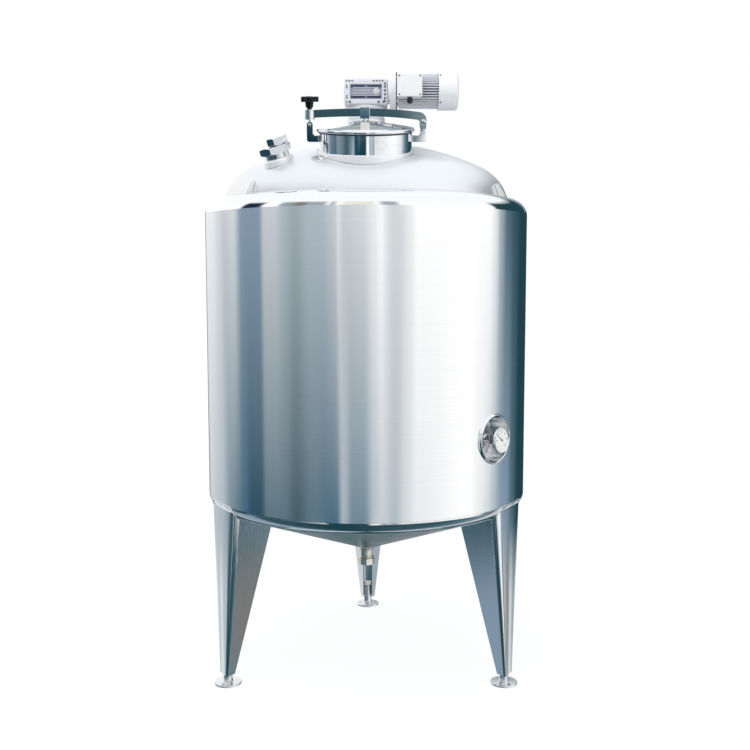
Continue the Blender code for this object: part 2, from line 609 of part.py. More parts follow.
turned("fan_cowl", [
    (0, COWL_X[1]), (COWL_R - 0.015, COWL_X[1]),
    *arc(COWL_R - COWL_EDGE_R, COWL_X[1] - COWL_EDGE_R, COWL_EDGE_R, 80, 0, 5), (COWL_R, COWL_X[0]),
    (0, COWL_X[0]),
], CAST, closed=False, location=MOTOR_AT, rotation=ALONG_X)
BOX_X = (0.1215, 0.2200)
BOX_Z = (2.2936, 2.3815)
BOX_PROUD = 0.037
box_y = MOTOR_Y - MOTOR_R
terminal = block("terminal_box", (BOX_X[0], box_y - BOX_PROUD, BOX_Z[0]),
                 (BOX_X[1], MOTOR_Y - MOTOR_R / 2, BOX_Z[1]), CAST)
bevel(terminal, CAST_EDGE / 2, 2)
cut(terminal, cylinder("cut_motor", MOTOR_R + GAP, GEARBOX_X, COWL_X[0], None, ROUND, location=MOTOR_AT,
                       rotation=ALONG_X))
turned("cable_gland", [
    (0, 0), (0.0095, 0), (0.0095, -0.004), (0.0128, -0.006), (0.0128, -0.018), (0.0080, -0.0225), (0, -0.0225),
], BLACK, SMALL_ROUND, closed=False, location=(sum(BOX_X) / 2 + 0.00125, box_y - BOX_PROUD / 2 + 0.0005,
                                               BOX_Z[0] - GAP))

# Agitator: the shaft and a pitched-blade impeller near the bottom
IMPELLER_Z = 0.820
HUB_R = 0.034
HUB_HALF = 0.035
BLADES = 4
BLADE_REACH = 0.200
BLADE_HALF_T = 0.003
BLADE_HALF_W = 0.038
SHAFT = frame_empty("shaft_axis", AXIS)
cylinder("agitator_shaft", SHAFT_R, 0.640, SHAFT_TOP_Z, SATIN, parent=SHAFT)
impeller = turned("impeller", [
    (SHAFT_R + GAP, HUB_HALF), (HUB_R, HUB_HALF), (HUB_R, -HUB_HALF), (SHAFT_R + GAP, -HUB_HALF),
], SATIN, SMALL_ROUND, parent=SHAFT, location=(0, 0, IMPELLER_Z))
for i in range(BLADES):
    heading = frame_empty(f"blade_{i}", SHAFT, (0, 0, IMPELLER_Z), front(360 * i / BLADES))
    blade = block(f"join_blade_{i}", (HUB_R - 0.006, -BLADE_HALF_T, -BLADE_HALF_W),
                  (BLADE_REACH, BLADE_HALF_T, BLADE_HALF_W), None,
                  parent=heading, rotation=(math.radians(45), 0, 0))
    cut(impeller, blade, "UNION")

# Thermometer in its port: a sleeve through the jacket, and the dial on its stem
PORT = frame_empty("port_frame", AXIS, (0, 0, PORT_Z), front(PORT_AZIMUTH))
OUTWARD = (math.radians(90), 0, 0)
PORT_INSIDE = 0.560
SLEEVE_WALL = 0.005
DIAL_BACK = 0.6550
DIAL_FACE = 0.6800
STEM_R = 0.0090
STEM_NUT = (0.0160, 0.5920, 0.6060)
STEM_BOSS_R = 0.0220
cut(jacket_wall, cylinder("cut_port", PORT_R + GAP, PORT_INSIDE, SHELL_R + CLEAR, None, ROUND, parent=PORT,
                          rotation=OUTWARD))
sleeve = turned("port_sleeve", [
    (PORT_R - SLEEVE_WALL, PORT_FACE), (PORT_R, PORT_FACE), (PORT_R, PORT_INSIDE),
    (PORT_R - SLEEVE_WALL, PORT_INSIDE),
], POLISHED, parent=PORT, rotation=OUTWARD)
vessel_cut = cylinder("cut_vessel", VESSEL_R + GAP, WALL_BOTTOM_Z, WALL_TOP_Z, None, 288)
cut(sleeve, vessel_cut)
thermometer = turned("thermometer", [
    (0, DIAL_FACE), (DIAL_R - 0.0065, DIAL_FACE), (DIAL_R - 0.0055, DIAL_FACE + 0.0035),
    (DIAL_R - 0.0015, DIAL_FACE + 0.0035), (DIAL_R, DIAL_FACE + 0.001), (DIAL_R, DIAL_BACK + 0.003),
    (DIAL_R - 0.0045, DIAL_BACK), (STEM_R, DIAL_BACK), (STEM_R, STEM_NUT[2]), (STEM_NUT[0], STEM_NUT[2]),
    (STEM_NUT[0], STEM_NUT[1]), (STEM_BOSS_R, STEM_NUT[1]), (STEM_BOSS_R, VESSEL_R - 0.007),
    (0, VESSEL_R - 0.007),
], DIAL, SMALL_ROUND, closed=False, parent=PORT, rotation=OUTWARD)
cut(thermometer, vessel_cut)


def leg_section(z):
    """Outer line of a leg's section at a height, from one inner edge round the back to the other."""
    share = (z - LEG_BOTTOM_Z) / (LEG_TOP_Z - LEG_BOTTOM_Z)
    half = LEG_BACK_HALF[0] + share * (LEG_BACK_HALF[1] - LEG_BACK_HALF[0])
    nose = LEG_NOSE_R[0] + share * (LEG_NOSE_R[1] - LEG_NOSE_R[0])
    spread = math.degrees(math.asin(half / SHELL_R))
    back = arc(0, 0, SHELL_R, -90 - spread, -90 + spread, 9)
    return [(-LEG_NOSE_HALF, -nose), *back, (LEG_NOSE_HALF, -nose)]


# Legs: plates folded round a curved back, their tops cut to fit under the jacket
under_jacket = turned("cut_under_jacket", [
    (0, PORT_Z), (SHELL_R + CLEAR, PORT_Z), (SHELL_R + CLEAR, WALL_BOTTOM_Z + 0.001),
    (SHELL_R + GAP, WALL_BOTTOM_Z),
    *arc(SHELL_R - CORNER_R, WALL_BOTTOM_Z - GAP, CORNER_R + GAP, 0, math.degrees(CONE_SLOPE) - 90, 6)[1:],
    (0, cone_z(0) - GAP),
], None, closed=False)
POST_TOP_Z = 0.100
for side, azimuth in LEG_AZIMUTHS.items():
    leg_mesh = bpy.data.meshes.new(f"leg_{side}")
    bm = bmesh.new()
    rows = []
    for z in (LEG_BOTTOM_Z, LEG_TOP_Z):
        ring = [bm.verts.new((x, y, z)) for x, y in leg_section(z)]
        rows += [bm.edges.new((a, b)) for a, b in zip(ring, ring[1:])]
    bmesh.ops.bridge_loops(bm, edges=rows)
    bmesh.ops.recalc_face_normals(bm, faces=bm.faces)
    if sum(f.normal.y * f.calc_area() for f in bm.faces) > 0:
        bmesh.ops.reverse_faces(bm, faces=bm.faces)
    bm.to_mesh(leg_mesh)
    bm.free()
    leg = add(f"leg_{side}", leg_mesh, SATIN, rotation=front(azimuth))
    skin = leg.modifiers.new("Plate", "SOLIDIFY")
    skin.thickness = LEG_PLATE
    skin.offset = -1.0
    skin.use_even_offset = True
    cut(leg, under_jacket)
    turned(f"foot_{side}", [
        (0, POST_TOP_Z), (POST_R, POST_TOP_Z), (POST_R, FOOT_PLATE + 0.003), (POST_R + 0.003, FOOT_PLATE),
        (FOOT_R, FOOT_PLATE - 0.001), (FOOT_R, 0), (0, 0),
    ], SATIN, SMALL_ROUND, closed=False, rotation=front(azimuth),
        location=(FOOT_CIRCLE_R * math.sin(math.radians(azimuth)),
                  -FOOT_CIRCLE_R * math.cos(math.radians(azimuth)), 0))

# Lifting lugs: small three-cornered plates between the head's knuckle and the shoulder
LUG_PLATE = 0.008
LUG_OUTER_R = 0.606
LUG_FOOT_ANGLE = math.degrees(math.asin((SHOULDER_Z + GAP - HEAD_Z) / (KNUCKLE_R + 2 * GAP)))
LUG_TOP_ANGLE = 28
knuckle = arc(VESSEL_R - KNUCKLE_R, HEAD_Z, KNUCKLE_R + 2 * GAP, LUG_FOOT_ANGLE, LUG_TOP_ANGLE, 5)
for side, azimuth in LUG_AZIMUTHS.items():
    plate(f"lifting_lug_{side}", [
        (LUG_OUTER_R, SHOULDER_Z + GAP), *knuckle, (0.5640, 1.9480), (0.5770, 1.9430),
    ], LUG_PLATE, SATIN, rotation=(0, 0, math.radians(azimuth - 90)))

# Outlet: the pipe from the cone's point, with two beads, and the union nut at its end
OUTLET_BORE_R = 0.0210
BEAD_R = 0.0293
BEADS_Z = ((0.4510, 0.4560), (0.4185, 0.4235))
NUT_Z = (0.3900, 0.4165)
NUT_R = 0.0345
bead_line = []
for low, high in BEADS_Z:
    bead_line += [(OUTLET_R, high + 0.0015), (BEAD_R, high), (BEAD_R, low), (OUTLET_R, low - 0.0015)]
turned("outlet_stub", [
    (OUTLET_R, inner_cone_z(OUTLET_R)), *bead_line, (OUTLET_R, OUTLET_Z), (OUTLET_BORE_R, OUTLET_Z),
    (OUTLET_BORE_R, inner_cone_z(OUTLET_R)),
], SATIN, SMALL_ROUND)
outlet_nut = cylinder("outlet_nut", NUT_R, *NUT_Z, POLISHED, 8)
bevel(outlet_nut, EDGE_BREAK, 1)
cut(outlet_nut, cylinder("cut_nut", OUTLET_R + GAP, 0, WALL_BOTTOM_Z, None))

# Round pieces are shaded smooth, with their edges kept sharp
for obj in tank.objects:
    if obj.type == "MESH" and not obj.modifiers:
        obj.data.shade_smooth()
        obj.data.set_sharp_from_angle(angle=math.radians(35))
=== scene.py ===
import math

import bpy
from mathutils import Matrix, Vector


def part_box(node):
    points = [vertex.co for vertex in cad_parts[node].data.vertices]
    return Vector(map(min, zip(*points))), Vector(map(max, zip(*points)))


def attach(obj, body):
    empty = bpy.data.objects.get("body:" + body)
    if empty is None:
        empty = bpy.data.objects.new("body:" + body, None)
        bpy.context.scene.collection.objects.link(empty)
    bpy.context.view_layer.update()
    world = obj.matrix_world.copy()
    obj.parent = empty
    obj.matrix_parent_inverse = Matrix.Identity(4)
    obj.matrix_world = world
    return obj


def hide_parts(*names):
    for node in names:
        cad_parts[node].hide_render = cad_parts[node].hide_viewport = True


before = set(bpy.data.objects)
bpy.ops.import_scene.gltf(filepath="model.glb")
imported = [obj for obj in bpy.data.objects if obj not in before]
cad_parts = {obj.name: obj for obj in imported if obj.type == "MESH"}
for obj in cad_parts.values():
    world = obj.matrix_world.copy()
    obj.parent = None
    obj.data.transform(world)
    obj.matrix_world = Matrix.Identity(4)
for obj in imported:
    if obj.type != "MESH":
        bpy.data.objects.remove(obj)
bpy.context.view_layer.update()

# Camera. It stands about four metres in front of the tank, a little higher than its middle, and looks
# slightly down. The lens gives the photograph's frame of 750 by 750 pixels.
wall_low, wall_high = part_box("jacket_wall")
AXIS_Y = (wall_low.y + wall_high.y) / 2
SHELL_R = (wall_high.x - wall_low.x) / 2
CAMERA_DISTANCE = 3.977
CAMERA_HEIGHT = 1.566
CAMERA_SIDE = 0.0355
CAMERA_PITCH = math.radians(84.6)
camera_data = bpy.data.cameras.new("tank_camera")
camera_data.sensor_width = 36.0
camera_data.lens = 46.14
camera = bpy.data.objects.new("tank_camera", camera_data)
camera.location = (CAMERA_SIDE, AXIS_Y - CAMERA_DISTANCE, CAMERA_HEIGHT)
camera.rotation_euler = (CAMERA_PITCH, 0, 0)
bpy.context.scene.collection.objects.link(camera)
bpy.context.scene.camera = camera
bpy.context.scene.view_settings.view_transform = "Standard"

# Studio. A plain white room with a soft light overhead. The world's light also holds rings of panels that
# only reflections see: pale sheets, blue and green flags and a dark floor, which give polished steel its
# stripes.
WHITE = (1.0, 0.99, 0.985)
CLOUD = (0.8, 0.82, 0.83)
CREAM = (0.8, 0.77, 0.71)
PEARL = (0.64, 0.67, 0.69)
PALE = (0.55, 0.58, 0.61)
MIST = (0.42, 0.48, 0.53)
HAZE = (0.33, 0.39, 0.43)
STEEL_BLUE = (0.23, 0.31, 0.4)
GREY_BLUE = (0.14, 0.225, 0.285)
SLATE = (0.075, 0.145, 0.185)
BLUE = (0.042, 0.12, 0.19)
DEEP_BLUE = (0.006, 0.055, 0.088)
NAVY = (0.005, 0.018, 0.045)
TEAL = (0.036, 0.085, 0.105)
DARK_TEAL = (0.014, 0.05, 0.066)
BRONZE = (0.2, 0.19, 0.17)
# Each ring lists its panels as (azimuth in degrees where the colour stands, colour); azimuth 0 is the front
RING_TOP = [(-174, SLATE), (-165, TEAL), (-158, CLOUD), (-137, CLOUD), (-124, PEARL), (-117, PALE),
            (-104, PEARL), (-95, STEEL_BLUE), (-77, STEEL_BLUE), (-74, PALE), (-64, PALE), (-58, MIST),
            (-49, HAZE), (-38, MIST), (-30, MIST), (-20, PALE), (-18, CLOUD), (-16, PALE), (-2, PEARL),
            (5, CLOUD), (11, WHITE), (13, CLOUD), (18, PEARL), (23, PEARL), (30, CLOUD), (35, WHITE),
            (95, WHITE), (101, CLOUD), (108, HAZE), (116, SLATE), (128, TEAL), (142, DARK_TEAL)]
RING_LOW = [(-174, SLATE), (-165, TEAL), (-153, PALE), (-125, MIST), (-110, GREY_BLUE), (-102, SLATE),
            (-94, BLUE), (-88, DEEP_BLUE), (-78, DEEP_BLUE), (-73, SLATE), (-58, SLATE), (-49, TEAL),
            (-36, SLATE), (-27, BLUE), (-19, BLUE), (-16, MIST), (-13, HAZE), (-10, GREY_BLUE),
            (-1, GREY_BLUE), (6, MIST), (12, PALE), (20, MIST), (28, PEARL), (36, CLOUD), (76, WHITE),
            (88, CLOUD), (95, PEARL), (102, MIST), (111, STEEL_BLUE), (119, STEEL_BLUE), (128, SLATE),
            (140, DARK_TEAL)]
RING_NEAR = [(-177, PALE), (-152, WHITE), (-134, PALE), (-129, CLOUD), (-123, MIST), (-118, PALE),
             (-115, SLATE), (-98, DARK_TEAL), (-92, SLATE), (-72, TEAL), (-50, SLATE), (-36, HAZE),
             (-29, PALE), (-26, DEEP_BLUE), (-5, DARK_TEAL), (2, DEEP_BLUE), (4, WHITE), (9, WHITE),
             (12, STEEL_BLUE), (16, PALE), (20, STEEL_BLUE), (26, CLOUD), (82, WHITE), (89, CREAM),
             (94, GREY_BLUE), (104, SLATE), (114, PALE), (123, BRONZE), (128, CLOUD), (134, HAZE),
             (141, HAZE), (146, WHITE)]
RING_FLOOR = [(-180, TEAL), (-160, SLATE), (-145, PEARL), (-124, HAZE), (-114, STEEL_BLUE),
              (-98, STEEL_BLUE), (-85, TEAL), (-30, DARK_TEAL), (60, TEAL), (84, SLATE), (97, GREY_BLUE),
              (106, BRONZE), (116, PALE), (140, MIST), (156, SLATE), (175, TEAL)]
RING_SKYLINE = [(-165, WHITE), (-97, WHITE), (-94, NAVY), (-77, NAVY), (-75, WHITE), (-63, WHITE),
                (-60, HAZE), (-44, BRONZE), (-38, HAZE), (-28, HAZE), (-26, WHITE), (-22, HAZE),
                (-19, WHITE), (-12, CREAM), (4, CREAM), (8, WHITE), (12, HAZE), (20, HAZE), (24, WHITE),
                (99, WHITE), (103, DARK_TEAL), (150, DARK_TEAL), (165, HAZE)]
SKY = (0.93, 0.955, 0.98)
STUDIO_STRENGTH = 1.08
world = bpy.data.worlds.new("studio")
bpy.context.scene.world = world
world.use_nodes = True
sky = world.node_tree
sky.nodes.clear()


def add(tree, kind, inputs, **settings):
    """Adds a shader node. inputs gives a socket its value or the output that feeds it."""
    node = tree.nodes.new("ShaderNode" + kind)
    for setting, value in settings.items():
        setattr(node, setting, value)
    for socket, value in inputs.items():
        if isinstance(value, bpy.types.NodeSocket):
            tree.links.new(value, node.inputs[socket])
        else:
            node.inputs[socket].default_value = value
    return node


direction = add(sky, "SeparateXYZ", {0: add(sky, "TexCoord", {}).outputs["Generated"]})
front = add(sky, "Math", {0: direction.outputs["Y"], 1: -1.0}, operation="MULTIPLY")
azimuth = add(sky, "Math", {0: direction.outputs["X"], 1: front.outputs[0]}, operation="ARCTAN2")
ring_place = add(sky, "Math", {0: azimuth.outputs[0], 1: 1 / (2 * math.pi), 2: 0.5}, operation="MULTIPLY_ADD")
height = add(sky, "Math", {0: direction.outputs["Z"]}, operation="ARCSINE")
elevation = add(sky, "Math", {0: height.outputs[0]}, operation="DEGREES")


def ring(panels):
    """A colour ramp once round the tank, from azimuth -180 to 180."""
    ramp = add(sky, "ValToRGB", {0: ring_place.outputs[0]})
    ramp.color_ramp.interpolation = "EASE"
    stops = ramp.color_ramp.elements
    stops.remove(stops[1])
    for i, (angle, colour) in enumerate(panels):
        stop = stops[0] if i == 0 else stops.new(angle / 360 + 0.5)
        stop.position = angle / 360 + 0.5
        stop.color = (*colour, 1.0)
    return ramp.outputs[0]


def over(below, above, start, end):
    """Changes from the lower colour to the upper one between two elevations in degrees."""
    share = add(sky, "MapRange", {"Value": elevation.outputs[0], "From Min": start, "From Max": end})
    return add(sky, "Mix", {0: share.outputs[0], 6: below, 7: above}, data_type="RGBA").outputs[2]


panels = over(ring(RING_FLOOR), ring(RING_NEAR), -27.0, -23.0)
panels = over(panels, ring(RING_LOW), -18.0, -14.0)
panels = over(panels, ring(RING_TOP), -15.0, 4.5)
panels = over(panels, ring(RING_SKYLINE), 5.8, 6.6)
panels = over(panels, (*SKY, 1.0), 24.0, 32.0)
mirrored = add(sky, "Background", {"Color": panels, "Strength": STUDIO_STRENGTH})
room = add(sky, "Background", {"Color": (1.0, 1.0, 1.0, 1.0)})
is_glossy = add(sky, "LightPath", {}).outputs["Is Glossy Ray"]
light = add(sky, "MixShader", {0: is_glossy, 1: room.outputs[0], 2: mirrored.outputs[0]})
add(sky, "OutputWorld", {"Surface": light.outputs[0]})

bpy.ops.object.light_add(type="AREA", location=(-1.6, -2.2, 4.2))
softbox = bpy.context.object
softbox.name = "softbox"
softbox.data.size = 2.5
softbox.data.energy = 60.0
softbox.rotation_euler = (Vector((0, AXIS_Y, 1.2)) - softbox.location).to_track_quat("-Z", "Y").to_euler()
softbox.visible_glossy = False

FLOOR_HALF = 30.0
bpy.ops.mesh.primitive_plane_add(size=2 * FLOOR_HALF, location=(0, 0, 0))
floor = bpy.context.object
floor.name = "studio_floor"
floor.visible_glossy = False
floor_paint = bpy.data.materials.new("pale_floor")
floor_paint.use_nodes = True
floor_look = {"Base Color": (0.12, 0.12, 0.12, 1.0), "Emission Color": (0.9, 0.905, 0.91, 1.0),
              "Emission Strength": 1.0, "Roughness": 0.9, "Specular IOR Level": 0.0}
for socket, value in floor_look.items():
    floor_paint.node_tree.nodes["Principled BSDF"].inputs[socket].default_value = value
floor.data.materials.append(floor_paint)

# Outer jacket wall. A drum of stainless sheet round its insulation, modelled as one solid, its shoulder
# pressed over at the top. It is polished until it mirrors the room, in fine rings that run round it.
WALL_BOTTOM_Z = wall_low.z
SHOULDER_Z = wall_high.z
SHOULDER_R = 0.06
WALL_TOP_Z = SHOULDER_Z - SHOULDER_R
VESSEL_R = 0.577
GAP = 0.0003
AXIS = Matrix.Translation((0, AXIS_Y, 0))
WALL_STEPS = 240
WALL_ROWS = 22


def arc(centre_r, centre_z, radius, start, end, count):
    """Points on an arc, its angles in degrees."""
    turns = [math.radians(start + (end - start) * i / (count - 1)) for i in range(count)]
    return [(centre_r + radius * math.cos(t), centre_z + radius * math.sin(t)) for t in turns]


def shift(x, y, z):
    return Matrix.Translation((x, y, z))


def swing(degrees, axis):
    return Matrix.Rotation(math.radians(degrees), 4, axis)


def polar(reach, turn):
    return reach * math.cos(turn), reach * math.sin(turn)


def chain(name, points):
    """One vertex drawn out edge by edge through (x, y, z) points; it stays in edit mode, all selected."""
    bpy.ops.object.select_all(action="DESELECT")
    bpy.ops.mesh.primitive_plane_add(size=0.01)
    piece = bpy.context.object
    piece.name = name
    bpy.ops.object.mode_set(mode="EDIT")
    bpy.ops.mesh.merge(type="CENTER")
    bpy.ops.transform.translate(value=points[0])
    for a, b in zip(points, points[1:]):
        step = tuple(q - p for p, q in zip(a, b))
        bpy.ops.mesh.extrude_region_move(TRANSFORM_OT_translate={"value": step})
    bpy.ops.mesh.select_all(action="SELECT")
    return piece


def close_up(merge=0.0):
    """Welds points nearer than merge, turns all faces outwards and leaves edit mode."""
    bpy.ops.mesh.select_all(action="SELECT")
    if merge:
        bpy.ops.mesh.remove_doubles(threshold=merge)
    bpy.ops.mesh.normals_make_consistent(inside=False)
    bpy.ops.object.mode_set(mode="OBJECT")


def turned(name, profile, steps=128, at=None):
    """A profile of (radius, height) points spun round Z; one that keeps off the axis is closed to a ring."""
    points = [(r, 0, z) for r, z in profile]
    if min(r for r, z in profile) > GAP:
        points.append(points[0])
    piece = chain(name, points)
    bpy.ops.mesh.spin(steps=steps, angle=2 * math.pi, center=(0, 0, 0), axis=(0, 0, 1))
    close_up(0.00003)
    return place(piece, at) if at else piece


def only(piece):
    bpy.ops.object.select_all(action="DESELECT")
    piece.select_set(True)
    bpy.context.view_layer.objects.active = piece


def place(piece, matrix):
    """Carries a piece to its place, which is then kept in its mesh."""
    only(piece)
    piece.matrix_world = matrix
    bpy.ops.object.transform_apply(location=True, rotation=True, scale=True)
    return piece


def apply_all(piece):
    only(piece)
    for modifier in list(piece.modifiers):
        bpy.ops.object.modifier_apply(modifier=modifier.name)
    return piece


def cut(piece, cutter, operation="DIFFERENCE", solver="EXACT"):
    boolean = piece.modifiers.new("Cut", "BOOLEAN")
    boolean.operation = operation
    boolean.object = cutter
    boolean.solver = solver
    apply_all(piece)
    bpy.data.objects.remove(cutter, do_unlink=True)
    return piece


def dress(piece, finish, *nodes, slot="satin_stainless", body="root", angle=32.0):
    """Shades a piece, gives it one finish or a list of them, and ties it to its CAD body and nodes."""
    only(piece)
    piece.data.materials.clear()
    for material in (finish if isinstance(finish, list) else [finish]):
        piece.data.materials.append(material)
    bpy.ops.object.shade_smooth_by_angle(angle=math.radians(angle))
    flat_faces = piece.modifiers.new("Flat", "WEIGHTED_NORMAL")
    flat_faces.keep_sharp = True
    apply_all(piece)
    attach(piece, body)
    if nodes:
        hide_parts(*nodes)
    return piece


def steel(name, tint, roughness, grain, depth=0.00004, metallic=1.0, cloud=4.0, spread=0.04, mottle=0.07):
    """Metal with a fine grain of polishing lines. grain is lines per metre along X, Y and Z."""
    finish = bpy.data.materials.new(name)
    finish.use_nodes = True
    tree = finish.node_tree
    where = add(tree, "TexCoord", {}).outputs["Object"]
    stretch = add(tree, "Mapping", {"Vector": where, "Scale": grain})
    lines = add(tree, "TexNoise", {"Vector": stretch.outputs[0], "Scale": 1.0, "Detail": 3.0}).outputs["Fac"]
    patches = add(tree, "TexNoise", {"Vector": where, "Scale": cloud}).outputs["Fac"]
    both = add(tree, "Math", {0: lines, 1: patches}, operation="ADD")
    dull = add(tree, "MapRange", {"Value": both.outputs[0], "From Min": 0.6, "From Max": 1.4,
                                  "To Min": max(0.02, roughness - spread), "To Max": roughness + spread})
    shade = add(tree, "ValToRGB", {0: lines})
    for stop, position, gain in zip(shade.color_ramp.elements, (0.3, 0.72), (1 - mottle, 1.03)):
        stop.position = position
        stop.color = (*[min(1.0, c * gain) for c in tint], 1.0)
    relief = add(tree, "Bump", {"Height": lines, "Strength": 0.6, "Distance": depth})
    shader = tree.nodes["Principled BSDF"]
    shader.inputs["Metallic"].default_value = metallic
    for socket, source in (("Roughness", dull), ("Base Color", shade), ("Normal", relief)):
        tree.links.new(source.outputs[0], shader.inputs[socket])
    return finish


wall_polish = steel("polished_drum", (0.93, 0.94, 0.945), 0.085, (2, 2, 900), depth=0.000004, spread=0.015,
                    mottle=0.02)
wall_step = (WALL_TOP_Z - WALL_BOTTOM_Z) / WALL_ROWS
wall_rows = [(SHELL_R, WALL_TOP_Z - wall_step * i) for i in range(1, WALL_ROWS + 1)]
jacket_wall = turned("drum_wall", [
    (VESSEL_R + GAP, SHOULDER_Z), *arc(SHELL_R - SHOULDER_R, WALL_TOP_Z, SHOULDER_R, 90, 0, 20), *wall_rows,
    (VESSEL_R + GAP, WALL_BOTTOM_Z),
], WALL_STEPS, at=AXIS)
waves = bpy.data.textures.new("sheet_waves", "CLOUDS")
waves.noise_scale = 0.32
sheet_waves = jacket_wall.modifiers.new("Waves", "DISPLACE")
sheet_waves.texture = waves
sheet_waves.texture_coords = "LOCAL"
sheet_waves.strength = 0.0005
sheet_waves.mid_level = 1.0
apply_all(jacket_wall)
PORT_AZIMUTH = 47.9
PORT_Z = 0.9915
PORT_R = 0.0915
PORT = shift(0, AXIS_Y, PORT_Z) @ swing(PORT_AZIMUTH, "Z") @ swing(90, "X")


def plug(name, radius, low, high, matrix, sides=96):
    """A round cutter along the local Z of a place."""
    bpy.ops.object.select_all(action="DESELECT")
    bpy.ops.mesh.primitive_cylinder_add(vertices=sides, radius=radius, depth=high - low,
                                        location=(0, 0, (low + high) / 2))
    piece = bpy.context.object
    piece.name = name
    bpy.ops.object.transform_apply(location=True, rotation=True, scale=True)
    return place(piece, matrix)


cut(jacket_wall, plug("port_hole", PORT_R + GAP, 0.5, 0.8, PORT))
dress(jacket_wall, wall_polish, "jacket_wall", slot="polished_stainless")

# Jacket bottom. The drum is closed by a spun corner and a shallow cone of the same sheet. The corner is
# polished with the wall; the cone stays satin, and a weld runs round where the two meet.
CORNER_R = 0.048
CONE_SLOPE = math.radians(20.1)
OUTLET_R = 0.0255
corner_end = (SHELL_R - CORNER_R + CORNER_R * math.sin(CONE_SLOPE),
              WALL_BOTTOM_Z - CORNER_R * math.cos(CONE_SLOPE))
corner_turn = math.degrees(CONE_SLOPE) - 90


def cone_z(radius):
    """Height of the outer cone at a radius."""
    return corner_end[1] - (corner_end[0] - radius) * math.tan(CONE_SLOPE)


bottom_z = WALL_BOTTOM_Z - GAP
cone_satin = steel("satin_cone", (0.86, 0.88, 0.89), 0.33, (160, 160, 60), depth=0.0001, cloud=9.0,
                   spread=0.08)
CONE_ROWS = 14
hole_r = OUTLET_R + GAP
cone_line = [corner_end[0] + (hole_r - corner_end[0]) * i / CONE_ROWS for i in range(1, CONE_ROWS + 1)]
INNER_CONE_UNDER = 0.5134
rim_r = (bottom_z - GAP - INNER_CONE_UNDER) / math.tan(CONE_SLOPE)
jacket_bottom = turned("cone_bottom", [
    (rim_r, bottom_z - GAP), (SHELL_R, bottom_z),
    *arc(SHELL_R - CORNER_R, bottom_z, CORNER_R, 0, corner_turn, 22)[1:],
    *[(r, cone_z(r)) for r in cone_line], (hole_r, INNER_CONE_UNDER + hole_r * math.tan(CONE_SLOPE)),
], WALL_STEPS, at=AXIS)
dress(jacket_bottom, [wall_polish, cone_satin], "jacket_bottom", slot="polished_stainless")
for face in jacket_bottom.data.polygons:
    out = Vector((face.center.x, face.center.y - AXIS_Y)).length
    face.material_index = 0 if out > corner_end[0] else 1


def bead(name, points, radius, cyclic=True):
    """A weld bead laid along (x, y, z) points."""
    line = bpy.data.curves.new(name, "CURVE")
    line.dimensions = "3D"
    line.bevel_depth = radius
    line.bevel_resolution = 2
    line.use_fill_caps = not cyclic
    spline = line.splines.new("POLY")
    spline.points.add(len(points) - 1)
    for point, place_at in zip(spline.points, points):
        point.co = (*place_at, 1.0)
    spline.use_cyclic_u = cyclic
    piece = bpy.data.objects.new(name, line)
    bpy.context.scene.collection.objects.link(piece)
    only(piece)
    bpy.ops.object.convert(target="MESH")
    piece = bpy.context.object
    bpy.ops.object.mode_set(mode="EDIT")
    close_up(0.00002)
    return piece


def ring_points(radius, z, count=180, ripple=0.0):
    """Points round the tank's axis; ripple makes the small steps of a weld."""
    points = []
    for i in range(count):
        turn = 2 * math.pi * i / count
        x, y = polar(radius + ripple * math.sin(37 * turn), turn)
        points.append((x, AXIS_Y + y, z))
    return points


weld_satin = steel("ground_weld", (0.8, 0.82, 0.83), 0.38, (300, 300, 300), depth=0.00012)


def weld(name, points, radius, cyclic=True):
    """A ground weld that is part of the tank."""
    return dress(bead(name, points, radius, cyclic=cyclic), weld_satin)


seam_r = corner_end[0] - 0.002
cone_weld = bead("cone_weld", ring_points(seam_r, cone_z(seam_r) - GAP, ripple=0.0003), 0.0011)
dress(cone_weld, cone_satin)

# Dished head. A pressed end of five-millimetre plate over the inner vessel, glass-bead blasted to a soft
# white satin. It is welded to the shoulder, and it has holes for the manway, the inlet and the drive.
HEAD_Z = 1.86
KNUCKLE_R = 0.18
CROWN_R = 1.1
HEAD_PLATE = 0.005
crown_angle = math.asin((VESSEL_R - KNUCKLE_R) / (CROWN_R - KNUCKLE_R))
CROWN_Z = HEAD_Z - (CROWN_R - KNUCKLE_R) * math.cos(crown_angle)


def head_line(offset):
    """Outer line of the head moved inwards by offset, from the crown down to its edge."""
    turn = 90 - math.degrees(crown_angle)
    line = arc(0, CROWN_Z, CROWN_R - offset, 90, turn, 36)
    return line + arc(VESSEL_R - KNUCKLE_R, HEAD_Z, KNUCKLE_R - offset, turn, 0, 18)[1:]


def head_z(radius):
    """Height of the head at a distance from the axis."""
    if radius <= CROWN_R * math.sin(crown_angle):
        return CROWN_Z + math.sqrt(CROWN_R ** 2 - radius ** 2)
    side = min(radius - (VESSEL_R - KNUCKLE_R), KNUCKLE_R)
    return HEAD_Z + math.sqrt(KNUCKLE_R ** 2 - side ** 2)


